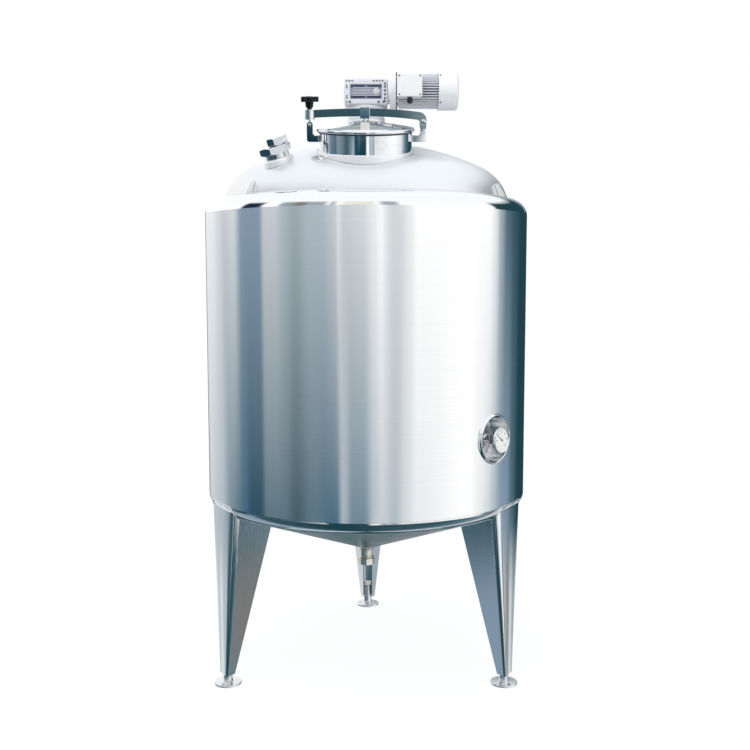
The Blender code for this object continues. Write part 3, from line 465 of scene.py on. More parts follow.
MANWAY = shift(0, AXIS_Y - 0.372, 2.122) @ swing(13.0, "X")
NECK_R = 0.172
NOZZLE_R = 0.05
INLET_XY = Vector((-0.321, -0.352))
INLET_R = 0.045
INLET = (shift(INLET_XY.x, AXIS_Y + INLET_XY.y, head_z(INLET_XY.length))
         @ swing(225.0, "Z") @ swing(22.0, "Y"))
head_satin = steel("blasted_head", (0.93, 0.945, 0.96), 0.4, (420, 420, 420), depth=0.00003, cloud=3.0,
                   spread=0.03)
top_head = turned("dished_head", [*head_line(0.0), *reversed(head_line(HEAD_PLATE))], WALL_STEPS, at=AXIS)
cut(top_head, plug("manway_hole", NECK_R + GAP, -0.25, 0.1, MANWAY))
cut(top_head, plug("drive_hole", NOZZLE_R + GAP, 1.9, 2.3, AXIS))
cut(top_head, plug("inlet_hole", INLET_R + GAP, -0.12, 0.07, INLET))
dress(top_head, head_satin, "top_head")
weld("head_weld", ring_points(VESSEL_R + 0.0015, SHOULDER_Z + 0.0012, ripple=0.0004), 0.0035)

# Manway neck. A tube of four-millimetre stainless steel, mirror polished, that leans a little towards the
# front. It stands in a satin collar, and a fillet weld ties the collar to the head.
NECK_WALL = 0.004
COLLAR_R = 0.177
COLLAR_TOP = -0.067
COLLAR_BOTTOM = -0.15
NECK_BOTTOM = -0.16
mirror = steel("mirror_polish", (0.93, 0.94, 0.95), 0.035, (60, 60, 60), depth=0.000004, cloud=12.0,
               spread=0.015)


def head_form(name, offset):
    """A solid in the head's own shape, moved inwards by offset, to trim what stands on the head."""
    line = [*head_line(offset), (VESSEL_R - offset, HEAD_Z - 0.25), (0, HEAD_Z - 0.25)]
    return turned(name, line, 144, at=AXIS)


def on_head(matrix, radius, count=120):
    """Points where a tube along a place's local Z comes down on the head, with the steps of a weld."""
    points = []
    for i in range(count):
        turn = 2 * math.pi * i / count
        reach = radius + 0.0004 * math.sin(count * 0.31 * turn)
        local = Vector((*polar(reach, turn), 0))
        for _ in range(12):
            there = matrix @ local
            local.z += head_z(math.hypot(there.x, there.y - AXIS_Y)) - there.z
        points.append(tuple(matrix @ local))
    return points


neck = turned("manway_tube", [
    (NECK_R - 0.001, 0), (NECK_R, -0.001), (NECK_R, -0.04), (NECK_R, -0.08), (NECK_R, NECK_BOTTOM),
    (NECK_R - NECK_WALL, NECK_BOTTOM), (NECK_R - NECK_WALL, -0.001), (NECK_R - NECK_WALL + 0.001, 0),
], 192, at=MANWAY)
cut(neck, head_form("inside_head", HEAD_PLATE + 0.008))
dress(neck, mirror, "manway_neck", slot="polished_stainless")
collar = turned("neck_collar", [
    (NECK_R + GAP, COLLAR_TOP), (COLLAR_R - 0.002, COLLAR_TOP), (COLLAR_R - 0.0006, COLLAR_TOP - 0.001),
    (COLLAR_R, COLLAR_TOP - 0.003), (COLLAR_R, COLLAR_BOTTOM), (NECK_R + GAP, COLLAR_BOTTOM),
], 192, at=MANWAY)
cut(collar, head_form("outside_head", -2 * GAP))
collar_satin = steel("satin_collar", (0.96, 0.965, 0.975), 0.36, (40, 40, 500), depth=0.00003, metallic=0.5)
dress(collar, collar_satin, "manway_collar")
weld("collar_weld", on_head(MANWAY, COLLAR_R + 0.0012, 200), 0.003)

# Hinge bracket and latch lug. Two brackets cut from bar, polished and welded to the neck: the right one
# ends in a tongue for the hinge pin, the left one in a fork for the swing stud.
ARM_T = 0.022
HINGE_X = 0.212
HINGE_Z = 0.038
TONGUE_T = 0.009
TONGUE_R = 0.0105
FOOT_X = NECK_R - 0.007
FOOT_Z = (-0.034, -0.011)
LATCH_X = -0.204
LATCH_Z = 0.027
LUG_R = 0.011
LUG_CHAMFER = 0.006
EAR_SLOT = 0.01
HINGE_PIN_R = 0.004
LATCH_PIN_R = 0.003
ACROSS = swing(90, "X")


def plate(name, outline, thickness, at=None):
    """A flat plate: its outline of (x, z) points is filled and drawn out along Y."""
    piece = chain(name, [(x, -thickness / 2, z) for x, z in [*outline, outline[0]]])
    bpy.ops.mesh.remove_doubles(threshold=0.00001)
    bpy.ops.mesh.edge_face_add()
    bpy.ops.mesh.extrude_region_move(TRANSFORM_OT_translate={"value": (0, thickness, 0)})
    close_up()
    return place(piece, at) if at else piece


def block(name, low, high, at=None):
    """A bar between two opposite corners."""
    bpy.ops.object.select_all(action="DESELECT")
    size = [b - a for a, b in zip(low, high)]
    middle = [(a + b) / 2 for a, b in zip(low, high)]
    bpy.ops.mesh.primitive_cube_add(size=1, location=middle)
    piece = bpy.context.object
    piece.name = name
    piece.scale = size
    bpy.ops.object.transform_apply(location=True, rotation=True, scale=True)
    return place(piece, at) if at else piece


def soften(piece, width, segments=3, angle=38.0):
    """Rounds the sharp edges of a piece."""
    rounding = piece.modifiers.new("Rounding", "BEVEL")
    rounding.width = width
    rounding.segments = segments
    rounding.limit_method = "ANGLE"
    rounding.angle_limit = math.radians(angle)
    rounding.harden_normals = False
    return apply_all(piece)


def join(name, *pieces):
    """Several shells that are one piece of work."""
    bpy.ops.object.select_all(action="DESELECT")
    for piece in pieces:
        piece.select_set(True)
    bpy.context.view_layer.objects.active = pieces[0]
    bpy.ops.object.join()
    pieces[0].name = name
    return pieces[0]


def cross_pin(name, radius, x, z):
    """A round cutter through the whole width of the arm, for a pin."""
    return plug(name, radius, -ARM_T, ARM_T, MANWAY @ shift(x, 0, z) @ ACROSS, 48)


bracket = plate("bracket_bar", [
    (FOOT_X, FOOT_Z[0]), (HINGE_X + TONGUE_R, FOOT_Z[0]), *arc(HINGE_X, HINGE_Z, TONGUE_R, 0, 180, 25),
    (HINGE_X - TONGUE_R, 0), (HINGE_X - 0.0155, FOOT_Z[1]), (FOOT_X, FOOT_Z[1]),
], ARM_T, at=MANWAY)
cut(bracket, plug("neck_form", NECK_R + GAP, -0.25, 0.25, MANWAY, 192))
for side in (-1, 1):
    y_pair = sorted((side * TONGUE_T / 2, side * ARM_T))
    cut(bracket, block("tongue_side", (NECK_R, y_pair[0], 0.002), (0.25, y_pair[1], 0.25), at=MANWAY))
cut(bracket, cross_pin("tongue_hole", HINGE_PIN_R + GAP, HINGE_X, HINGE_Z))
soften(bracket, 0.0009, 2)
dress(bracket, mirror, "hinge_bracket", slot="polished_stainless")

lug = plate("fork_bar", [
    (-FOOT_X, FOOT_Z[1]), (LATCH_X + LUG_R + LUG_CHAMFER, FOOT_Z[1]),
    (LATCH_X + LUG_R, FOOT_Z[1] + LUG_CHAMFER), *arc(LATCH_X, LATCH_Z, LUG_R, 0, 180, 25),
    (LATCH_X - LUG_R, FOOT_Z[0] + LUG_CHAMFER), (LATCH_X - LUG_R + LUG_CHAMFER, FOOT_Z[0]),
    (-FOOT_X, FOOT_Z[0]),
], ARM_T, at=MANWAY)
cut(lug, plug("neck_form", NECK_R + GAP, -0.25, 0.25, MANWAY, 192))
cut(lug, block("fork_gap", (-0.25, -EAR_SLOT / 2, LATCH_Z - 0.013), (-NECK_R, EAR_SLOT / 2, 0.25), at=MANWAY))
cut(lug, cross_pin("fork_hole", LATCH_PIN_R + GAP, LATCH_X, LATCH_Z))
soften(lug, 0.0009, 2)
# The latch lug and the bridge arm have a dark teal tint in their steel: a painted reflection of dark
# surroundings, not a colour of the metal.
arm_painted_reflection = steel("arm_painted_reflection", (0.46, 0.56, 0.57), 0.05, (60, 60, 60), depth=0.000004, cloud=12.0,
                   spread=0.015)
dress(lug, arm_painted_reflection, "latch_lug", slot="polished_stainless")
for name, x in (("bracket_weld", FOOT_X + 0.007), ("lug_weld", -FOOT_X - 0.007)):
    reach = math.copysign(NECK_R + 0.0016, x)
    low, high = FOOT_Z
    outline = [(-ARM_T / 2, low), (ARM_T / 2, low), (ARM_T / 2, high), (-ARM_T / 2, high)]
    corner_points = [MANWAY @ Vector((reach * math.cos(y / NECK_R), y, z)) for y, z in outline]
    weld(name, [tuple(p) for p in corner_points], 0.0016)

# Pins. Turned from stainless bar: a domed head at the front, a hexagon nut on the thread at the back.
bright_steel = steel("bright_fastener", (0.84, 0.86, 0.88), 0.2, (900, 900, 900), depth=0.00002, cloud=60.0)


def hexagon(name, corner_r, low, high, sides=6):
    """A nut's form, six-sided unless told otherwise, its corners turned off at both ends."""
    flat_r = corner_r * math.cos(math.pi / sides)
    drop = (corner_r - flat_r) * 0.55
    piece = plug(name, corner_r, low, high, Matrix.Identity(4), sides)
    barrel = turned("barrel", [(0, high), (flat_r, high), (corner_r, high - drop), (corner_r, low + drop),
                               (flat_r, low), (0, low)], 96)
    return soften(cut(piece, barrel, "INTERSECT"), corner_r * 0.012, 1)


def pin(name, radius, head_r, x, z, node):
    """A headed pin through a fork."""
    seat = ARM_T / 2 + GAP
    head = turned(name, [(0, seat + 0.0037), (head_r * 0.45, seat + 0.0035), (head_r * 0.85, seat + 0.0028),
                         (head_r, seat + 0.0016), (head_r, seat), (radius, seat), (radius, -seat - 0.0046),
                         (0, -seat - 0.0047)], 64)
    piece = place(join(name, head, hexagon("nut", head_r, -seat - 0.004, -seat)),
                  MANWAY @ shift(x, 0, z) @ ACROSS)
    return dress(piece, bright_steel, node)


pin("hinge_bolt", HINGE_PIN_R, 0.0095, HINGE_X, HINGE_Z, "hinge_pin")
pin("latch_bolt", LATCH_PIN_R, 0.0065, LATCH_X, LATCH_Z, "latch_pin")

# Swing stud. An eye bolt with a rolled thread; it stands in the open slot of the arm's end block.
STUD_R = 0.005
STUD_TOP_Z = 0.0775
eye = plug("eye", 0.01, -TONGUE_T / 2, TONGUE_T / 2, ACROSS, 64)
cut(eye, plug("eye_hole", LATCH_PIN_R + GAP, -0.02, 0.02, ACROSS, 48))
thread_line = [(0, STUD_TOP_Z - LATCH_Z), (STUD_R - 0.0008, STUD_TOP_Z - LATCH_Z)]
THREADS = 22
for i in range(THREADS):
    z = STUD_TOP_Z - LATCH_Z - 0.0008 - 0.00125 * i
    thread_line += [(STUD_R, z), (STUD_R - 0.0007, z - 0.0006)]
thread_line += [(STUD_R, 0.007), (0, 0.007)]
rod = turned("rod", thread_line, 48)
stud = place(join("eye_bolt", soften(eye, 0.0006, 2), rod), MANWAY @ shift(LATCH_X, 0, LATCH_Z))
dress(stud, bright_steel, "swing_stud", body="stud")

# Bridge arm. A bar of flat stainless, slightly arched, polished to a mirror and bent down at the right to a
# fork that turns on the hinge pin. At the left it is welded to a slotted end block.
ARM_Z = 0.0715
ARM_DROOP = (0.15, 0.34)
ARM_H = 0.028
ARM_LEFT_X = -0.1855
ARM_END_X = (0.1995, 0.2235)
ARM_END_Z = 0.0115
ARM_BEND_R = 0.027
FORK_TOP_Z = 0.0555
BLOCK_R = 0.0185
BLOCK_Z = (0.046, 0.079)
SLOT_HALF = 0.00675


def arm_middle(x):
    """Height of the arched bar's middle line, which droops more towards the hinge."""
    return ARM_Z - ARM_DROOP[x > 0] * x * x


def arm_line(offset, x_start, x_end, count):
    """Points along the arched bar, offset from its middle line."""
    steps = [x_start + (x_end - x_start) * i / (count - 1) for i in range(count)]
    return [(x, arm_middle(x) + offset) for x in steps]


bend_x = ARM_END_X[1] - ARM_BEND_R
bend_turn = 90 - math.degrees(math.atan(2 * ARM_DROOP[1] * bend_x))
bend_start = bend_x + ARM_BEND_R * math.cos(math.radians(bend_turn))
bend_z = arm_middle(bend_start) + ARM_H / 2 - ARM_BEND_R * math.sin(math.radians(bend_turn))
FORK_TIP_R = 0.008
INNER_BEND_R = 0.011
inner_x = ARM_END_X[0] - INNER_BEND_R
inner_z = arm_middle(inner_x) - ARM_H / 2 - INNER_BEND_R
arm = plate("arm_bar", [
    *arm_line(ARM_H / 2, ARM_LEFT_X, bend_start, 30),
    *arc(bend_x, bend_z, ARM_BEND_R, bend_turn, 0, 14)[1:],
    *arc(ARM_END_X[1] - FORK_TIP_R, ARM_END_Z + FORK_TIP_R, FORK_TIP_R, 0, -90, 8),
    *arc(ARM_END_X[0] + FORK_TIP_R, ARM_END_Z + FORK_TIP_R, FORK_TIP_R, -90, -180, 8),
    *arc(inner_x, inner_z, INNER_BEND_R, 0, 84, 10),
    *arm_line(-ARM_H / 2, inner_x - INNER_BEND_R / 2, ARM_LEFT_X, 30),
], ARM_T, at=MANWAY)
cut(arm, block("arm_fork", (inner_x, -EAR_SLOT / 2, -0.25), (0.25, EAR_SLOT / 2, FORK_TOP_Z), at=MANWAY))
cut(arm, cross_pin("arm_hole", HINGE_PIN_R + GAP, HINGE_X, HINGE_Z))
LATCH = MANWAY @ shift(LATCH_X, 0, 0)
cut(arm, plug("arm_end", BLOCK_R + GAP, -0.25, 0.25, LATCH))
soften(arm, 0.0014, 3)
# The arm takes the same painted dark teal reflection as the latch lug.
dress(arm, arm_painted_reflection, "bridge_arm", slot="polished_stainless", body="lid_and_arm")
end_block = plug("slotted_block", BLOCK_R, *BLOCK_Z, LATCH, 96)
cut(end_block, block("slot", (-2 * BLOCK_R, -SLOT_HALF, 0), (0, SLOT_HALF, 0.25), at=LATCH))
cut(end_block, plug("slot_end", SLOT_HALF, 0, 0.25, LATCH, 48))
soften(end_block, 0.0012, 3)
dress(end_block, mirror, "arm_end_block", slot="polished_stainless", body="lid_and_arm")
arm_welds = []
for side in (-1, 1):
    y = side * (ARM_T / 2 - 0.0006)
    x = LATCH_X + math.sqrt(BLOCK_R ** 2 - y * y) + 0.0004
    ends = [MANWAY @ Vector((x, y, arm_middle(x) + h)) for h in (-0.0115, 0.0, 0.0105)]
    arm_welds.append(bead(f"arm_weld_{side}", [tuple(p) for p in ends], 0.0014, cyclic=False))
dress(join("arm_weld", *arm_welds), weld_satin, body="lid_and_arm")

# Saddle and post. A sleeve slid over the bar and a short stub below it, welded to the middle of the lid.
SADDLE_X = (-0.0195, 0.0165)
SADDLE_Z = (0.049, 0.0905)
SADDLE_HALF = ARM_T / 2 + 0.005
POST_TOP_R = 0.012
LID_TOP = 0.042
saddle = block("saddle_sleeve", (SADDLE_X[0], -SADDLE_HALF, SADDLE_Z[0]),
               (SADDLE_X[1], SADDLE_HALF, SADDLE_Z[1]), at=MANWAY)
bar_form = plate("bar_form", [*arm_line(ARM_H / 2 + GAP, -0.05, 0.05, 7),
                              *arm_line(-ARM_H / 2 - GAP, 0.05, -0.05, 7)], ARM_T + 2 * GAP)
cut(saddle, place(bar_form, MANWAY))
soften(saddle, 0.0015, 3)
dress(saddle, mirror, "arm_saddle", slot="polished_stainless", body="lid_and_arm")
post_top = SADDLE_Z[0] - GAP
lid_post = turned("lid_stub", [
    (0, post_top), (POST_TOP_R - 0.0008, post_top), (POST_TOP_R, post_top - 0.0008),
    (POST_TOP_R, LID_TOP + 0.0028), (POST_TOP_R + 0.0009, LID_TOP + 0.0012),
    (POST_TOP_R + 0.0026, LID_TOP + GAP), (0, LID_TOP + GAP),
], 96, at=MANWAY)
dress(lid_post, mirror, "lid_post", slot="polished_stainless", body="lid_and_arm")

# Manway lid. A shallow cone spun from three-millimetre sheet with a rolled rim, buffed in rings, and a dark
# rubber gasket held under the rim.
LID_R = 0.181
LID_SEAT = 0.005
LID_RIM = 0.017
LID_FLAT_R = 0.022
LID_PLATE = 0.003
lid_foot = (LID_R - 0.017, LID_RIM + 0.0025)


def ringed(finish, matrix, lines):
    """Turns the grain of a metal into rings about a place's own Z axis."""
    tree = finish.node_tree
    stretch = next(n for n in tree.nodes if n.type == "MAPPING")
    where = stretch.inputs["Vector"].links[0].from_socket
    home = add(tree, "Mapping", {"Vector": where, "Location": matrix.to_translation(),
                                 "Rotation": matrix.to_euler()}, vector_type="TEXTURE")
    parts = add(tree, "SeparateXYZ", {0: home.outputs[0]})
    flat = add(tree, "CombineXYZ", {"X": parts.outputs["X"], "Y": parts.outputs["Y"]})
    reach = add(tree, "VectorMath", {0: flat.outputs[0]}, operation="LENGTH")
    rings = add(tree, "CombineXYZ", {"X": reach.outputs["Value"], "Z": parts.outputs["Z"]})
    tree.links.new(rings.outputs[0], stretch.inputs["Vector"])
    stretch.inputs["Scale"].default_value = (lines, 1.0, lines)
    return finish


lid_buffed = ringed(steel("buffed_lid", (0.9, 0.915, 0.95), 0.09, (1, 1, 1), depth=0.00001, spread=0.03),
                    MANWAY, 500)
lid = turned("lid_cone", [
    (0, LID_TOP), (LID_FLAT_R - 0.004, LID_TOP), (LID_FLAT_R + 0.004, LID_TOP - 0.0006),
    *[(LID_FLAT_R + 0.004 + (lid_foot[0] - LID_FLAT_R - 0.008) * i / 8,
       LID_TOP - 0.0006 - (LID_TOP - 0.0014 - lid_foot[1]) * i / 8) for i in range(1, 9)],
    (lid_foot[0], lid_foot[1]), (lid_foot[0] + 0.0035, LID_RIM + 0.0016),
    *arc(LID_R - 0.006, LID_RIM - 0.006, 0.006, 90, 0, 10),
    *arc(LID_R - 0.003, LID_SEAT + 0.003, 0.003, 0, -90, 5),
    (LID_R - 0.027, LID_SEAT), (LID_R - 0.027, lid_foot[1] - LID_PLATE), (LID_FLAT_R, LID_TOP - LID_PLATE),
    (0, LID_TOP - LID_PLATE),
], 192, at=MANWAY)
dress(lid, lid_buffed, "manway_lid", angle=24.0, body="lid_and_arm")


def moulded(name, tint, roughness, grain=900.0, depth=0.00008):
    """Rubber or plastic with a fine moulded grain."""
    return steel(name, tint, roughness, (grain, grain, grain), depth=depth, metallic=0.0, cloud=25.0,
                 spread=0.07)


seal_rubber = moulded("seal_rubber", (0.03, 0.032, 0.035), 0.62)
gasket = turned("gasket_ring", [
    (0.1608, LID_SEAT - GAP), (0.1732, LID_SEAT - GAP), (0.174, LID_SEAT - 0.0012), (0.174, 0.0012),
    (0.1732, GAP), (0.1608, GAP), (0.16, 0.0012), (0.16, LID_SEAT - 0.0012),
], 160, at=MANWAY)
dress(gasket, seal_rubber, "lid_gasket", slot="rubber_seal", body="lid_and_arm")

# Star knob. Five lobes moulded in black phenolic plastic on a short hub, with a steel washer under it. It
# clamps the arm's end block down by the swing stud.
KNOB_LOBES = 5
KNOB_R = 0.0275
KNOB_WAVE = 0.007
KNOB_Z = (0.108, 0.127)
KNOB_WASHER = (0.0125, 0.082)
knob_black = moulded("knob_plastic", (0.004, 0.005, 0.006), 0.22, grain=1400.0, depth=0.00004)
knob_black.node_tree.nodes["Principled BSDF"].inputs["Specular IOR Level"].default_value = 0.3
LOBE_POINTS = 120
lobe_line = []
for i in range(LOBE_POINTS):
    turn = 2 * math.pi * i / LOBE_POINTS
    lobe_line.append(polar(KNOB_R + KNOB_WAVE * math.cos(KNOB_LOBES * turn), turn))
star = plate("star", lobe_line, KNOB_Z[1] - KNOB_Z[0], at=LATCH @ shift(0, 0, sum(KNOB_Z) / 2) @ ACROSS)
soften(star, 0.0055, 5, angle=60.0)
hub = turned("hub", [
    (0, KNOB_Z[1] + 0.001), (0.0105, KNOB_Z[1] + 0.001), (0.012, KNOB_Z[1] + 0.0004),
    (0.013, KNOB_Z[1] - 0.0015), (0.0165, KNOB_Z[0] + 0.002), (0.0155, KNOB_Z[0] - 0.001), (0.0135, 0.09),
    (0.01, 0.0862), (0.0085, 0.085), (0.0085, 0.0825), (0, 0.0825),
], 96, at=LATCH)
cap_disc = turned("hub_disc", [(0, 0.1279), (0.0085, 0.1279), (0.0092, 0.1272), (0, 0.1272)], 64, at=LATCH)
knob = join("star_grip", star, hub, cap_disc)
dress(knob, knob_black, "star_knob", slot="black_plastic", angle=40.0, body="knob")
washer = turned("knob_washer", [
    (STUD_R + 0.0004, KNOB_WASHER[1]), (KNOB_WASHER[0] - 0.0005, KNOB_WASHER[1]), (KNOB_WASHER[0], 0.0815),
    (KNOB_WASHER[0], BLOCK_Z[1] + GAP), (STUD_R + 0.0004, BLOCK_Z[1] + GAP),
], 64, at=LATCH)
dress(washer, bright_steel, body="knob")

# Earthing tab. A small plate welded to the head by the neck, with a bolt for the earthing strap.
TAB_TURN = MANWAY @ swing(-57, "Z")
tab = block("earth_plate", (-0.03, -0.215, -0.25), (0.02, -COLLAR_R - 0.0005, 0), at=TAB_TURN)
cut(tab, head_form("under_tab", -2 * GAP))
cut(tab, head_form("over_tab", -0.0045), "INTERSECT")
soften(tab, 0.0007, 2)
dress(tab, mirror, "earthing_tab")
tab_middle = on_head(TAB_TURN @ shift(-0.005, -0.197, 0), 0.0001, 1)[0]
bolt_end = turned("bolt_end",
                  [(0, 0.0125), (0.003, 0.0125), (0.0036, 0.0118), (0.0036, 0.0088), (0, 0.0088)], 32)
tab_bolt = join("earth_bolt", hexagon("bolt_head", 0.0075, 0.004, 0.0088), bolt_end)
place(tab_bolt, shift(*tab_middle) @ MANWAY.to_3x3().to_4x4())
dress(tab_bolt, bright_steel)

# Inlet. A pad and a stub of stainless tube welded to the head, with a hexagon union nut and a hexagon cap
# screwed down on it, both machined from bar and polished.
PAD_R = 0.055
PAD_LOW = -0.03
NUT_CORNER_R = 0.06
NUT_LOW = 0.0303
NUT_TOP = 0.058
CAP_CORNER_R = 0.0385
CAP_TOP = 0.086
CAP_SHIFT = (-0.0106, 0.0106, 0.0)
pad = turned("weld_pad", [
    (INLET_R + GAP, 0.012), (PAD_R - 0.0045, 0.012), (PAD_R - 0.002, 0.0112), (PAD_R - 0.0004, 0.0085),
    (PAD_R, 0.006), (PAD_R, PAD_LOW), (INLET_R + GAP, PAD_LOW),
], 128, at=INLET)
cut(pad, head_form("under_pad", -2 * GAP))
dress(pad, collar_satin, "inlet_pad")
weld("pad_weld", on_head(INLET, PAD_R + 0.001), 0.0026)
stub = turned("inlet_tube", [
    (INLET_R, 0.03), (INLET_R, -0.032), (INLET_R - 0.005, -0.032), (INLET_R - 0.005, 0.03),
], 128, at=INLET)
dress(stub, bright_steel, "inlet_stub")
stub_seam = [tuple(INLET @ Vector((*polar(INLET_R, math.radians(3 * i)), 0.0128))) for i in range(120)]
weld("stub_weld", stub_seam, 0.0018)
nut = place(hexagon("union_nut", NUT_CORNER_R, NUT_LOW, NUT_TOP), INLET)
dress(nut, mirror, "inlet_nut", slot="polished_stainless")
cap = place(hexagon("hex_cap", CAP_CORNER_R, NUT_TOP + GAP, CAP_TOP), INLET @ shift(*CAP_SHIFT))
dress(cap, mirror, "inlet_cap", slot="polished_stainless")

# Drive seat. A flanged nozzle turned from thick stainless, welded to the crown, and a cast lantern that the
# gearbox stands on. Hexagon bolts hold the two flanges together.
NOZZLE_FLANGE_Z = 2.205
BORE_R = 0.03
PLATE_R = 0.075
PLATE_H = 0.0165
LANTERN_R = 0.055
LANTERN_TOP_R = 0.085
LANTERN_TOP_H = 0.0122
GEARBOX_Z = (2.2748, 2.376)
lantern_z = NOZZLE_FLANGE_Z + PLATE_H
nozzle = turned("nozzle_flange", [
    (BORE_R, lantern_z), (PLATE_R - 0.001, lantern_z), (PLATE_R, lantern_z - 0.001),
    (PLATE_R, NOZZLE_FLANGE_Z + 0.001), (PLATE_R - 0.001, NOZZLE_FLANGE_Z),
    (NOZZLE_R + 0.004, NOZZLE_FLANGE_Z), (NOZZLE_R + 0.001, NOZZLE_FLANGE_Z - 0.001),
    (NOZZLE_R, NOZZLE_FLANGE_Z - 0.004), (NOZZLE_R, CROWN_Z + CROWN_R - 0.018),
    (BORE_R, CROWN_Z + CROWN_R - 0.018),
], 128, at=AXIS)
dress(nozzle, collar_satin, "drive_nozzle")
weld("nozzle_weld", on_head(AXIS, NOZZLE_R + 0.0012), 0.003)


def cast(name, tint, roughness, metallic=0.25):
    """Cast aluminium under a coat of silver paint: a fine sandy skin with soft patches."""
    return steel(name, tint, roughness, (260, 260, 260), depth=0.0003, metallic=metallic, cloud=14.0,
                 spread=0.08)


silver_cast = cast("silver_casting", (0.7, 0.72, 0.77), 0.4)
lantern_low = lantern_z + GAP
lantern_top = GEARBOX_Z[0] - GAP
lantern = turned("cast_lantern", [
    (BORE_R, lantern_top), (LANTERN_TOP_R - 0.001, lantern_top), (LANTERN_TOP_R, lantern_top - 0.001),
    (LANTERN_TOP_R, lantern_top - 0.011), (LANTERN_TOP_R - 0.001, lantern_top - LANTERN_TOP_H),
    (LANTERN_R + 0.003, lantern_top - LANTERN_TOP_H), (LANTERN_R, lantern_top - LANTERN_TOP_H - 0.002),
    (LANTERN_R, lantern_low + 0.0165), (LANTERN_R + 0.003, lantern_low + 0.0145),
    (PLATE_R - 0.001, lantern_low + 0.0145), (PLATE_R, lantern_low + 0.0135), (PLATE_R, lantern_low),
    (BORE_R, lantern_low),
], 128, at=AXIS)
dress(lantern, silver_cast, "drive_lantern", slot="cast_grey")
dark_bolt = steel("dark_bolt", (0.16, 0.17, 0.19), 0.38, (700, 700, 700), depth=0.00005, metallic=0.8,
                  cloud=60.0)
SEAT_CIRCLE_R = 0.0655
SEAT_BOLT_R = 0.0072


def copy_of(model, name, matrix):
    """A copy of a piece, carried to its place."""
    only(model)
    bpy.ops.object.duplicate()
    copy = place(bpy.context.object, matrix)
    copy.name = name
    return copy


def bolt_ring(name, bolt, count, radius, at, first):
    """Copies of one bolt on a circle round a place's Z, the first of them at an angle in degrees."""
    spots = [polar(radius, math.radians(first + 360 / count * i)) for i in range(count)]
    copies = [copy_of(bolt, name, at @ shift(*spot, 0)) for spot in spots]
    bpy.data.objects.remove(bolt, do_unlink=True)
    return join(name, *copies)


seat_bolt = join("seat_bolt", hexagon("bolt_head", SEAT_BOLT_R, lantern_low + 0.0145, lantern_low + 0.02),
                 hexagon("bolt_nut", SEAT_BOLT_R, NOZZLE_FLANGE_Z - 0.006, NOZZLE_FLANGE_Z))
seat_bolts = bolt_ring("seat_bolts", seat_bolt, 8, SEAT_CIRCLE_R, AXIS, 22.5)
dress(seat_bolts, bright_steel, slot="cast_grey")

# Worm gearbox. A ribbed aluminium casting in silver paint with a sunk panel on its face. Dark socket screws
# stand round the panel and on the bearing cover, and a bright oil plug sits in the panel.
GEARBOX_X = 0.086
GEARBOX_Y = (-0.086, 0.094)
PANEL_HALF = 0.064
PANEL_Z = (2.2965, 2.354)
PANEL_DEPTH = 0.006
COVER_R = 0.052
PLUG_AT = (0.0406, 2.3255)
SHAFT_R = 0.018
SHAFT_TOP_Z = 2.345
face_y = AXIS_Y + GEARBOX_Y[0]
housing = block("gear_case", (-GEARBOX_X, AXIS_Y + GEARBOX_Y[0], GEARBOX_Z[0]),
                (GEARBOX_X, AXIS_Y + GEARBOX_Y[1], GEARBOX_Z[1]))
soften(housing, 0.008, 5)
cut(housing, soften(block("panel_form", (-PANEL_HALF, face_y - 0.1, PANEL_Z[0]),
                          (PANEL_HALF, face_y + PANEL_DEPTH, PANEL_Z[1])), 0.003, 3))
cut(housing, plug("shaft_bore", SHAFT_R + 0.0005, 2.2, SHAFT_TOP_Z + 0.005, AXIS, 64))


def rib(z, half, x_pair, y_pair, rounding=0.001):
    """A level rib of the casting at height z."""
    return soften(block("rib", (x_pair[0], y_pair[0], z - half), (x_pair[1], y_pair[1], z + half)),
                  rounding, 2)


case_parts = [housing]
panel_y = face_y + PANEL_DEPTH
rib_y = (face_y + 0.0004, panel_y + 0.001)
for z, right in ((2.34, 0.05), (2.334, 0.026), (2.328, 0.024), (2.322, 0.026), (2.316, 0.03), (2.31, 0.05)):
    case_parts.append(rib(z, 0.0012, (-0.052, right), rib_y, 0.0008))
plug_place = shift(PLUG_AT[0], panel_y, PLUG_AT[1]) @ ACROSS
case_parts.append(turned("plug_boss", [(0, 0.0052), (0.012, 0.0052), (0.0135, 0.004), (0.015, 0), (0, 0)], 64,
                         at=plug_place))
case_rear = AXIS_Y + GEARBOX_Y[1]
for i in range(7):
    case_parts.append(rib(2.293 + 0.011 * i, 0.0015, (-0.06, 0.06), (case_rear - 0.001, case_rear + 0.0035)))
side_x = (-GEARBOX_X - 0.003, -GEARBOX_X + 0.001)
for i in range(5):
    case_parts.append(rib(2.299 + 0.013 * i, 0.0015, side_x, (AXIS_Y - 0.06, AXIS_Y + 0.065)))
# Painted shade: the floor of the sunk panel is painted darker than the case, standing in for the shade in the
# recess between the ribs.
panel_floor_shade = cast("panel_floor_shade", (0.3, 0.33, 0.44), 0.5)
gear_case = join("gear_case", *case_parts)
dress(gear_case, [silver_cast, panel_floor_shade], "gearbox_housing", slot="cast_grey")
# The faces of the sunk panel's floor take the painted shade.
for face in gear_case.data.polygons:
    sunk = abs(face.center.y - panel_y) < 0.0005 and face.normal.y < -0.9
    within = abs(face.center.x) < PANEL_HALF and PANEL_Z[0] < face.center.z < PANEL_Z[1]
    face.material_index = 1 if sunk and within else 0

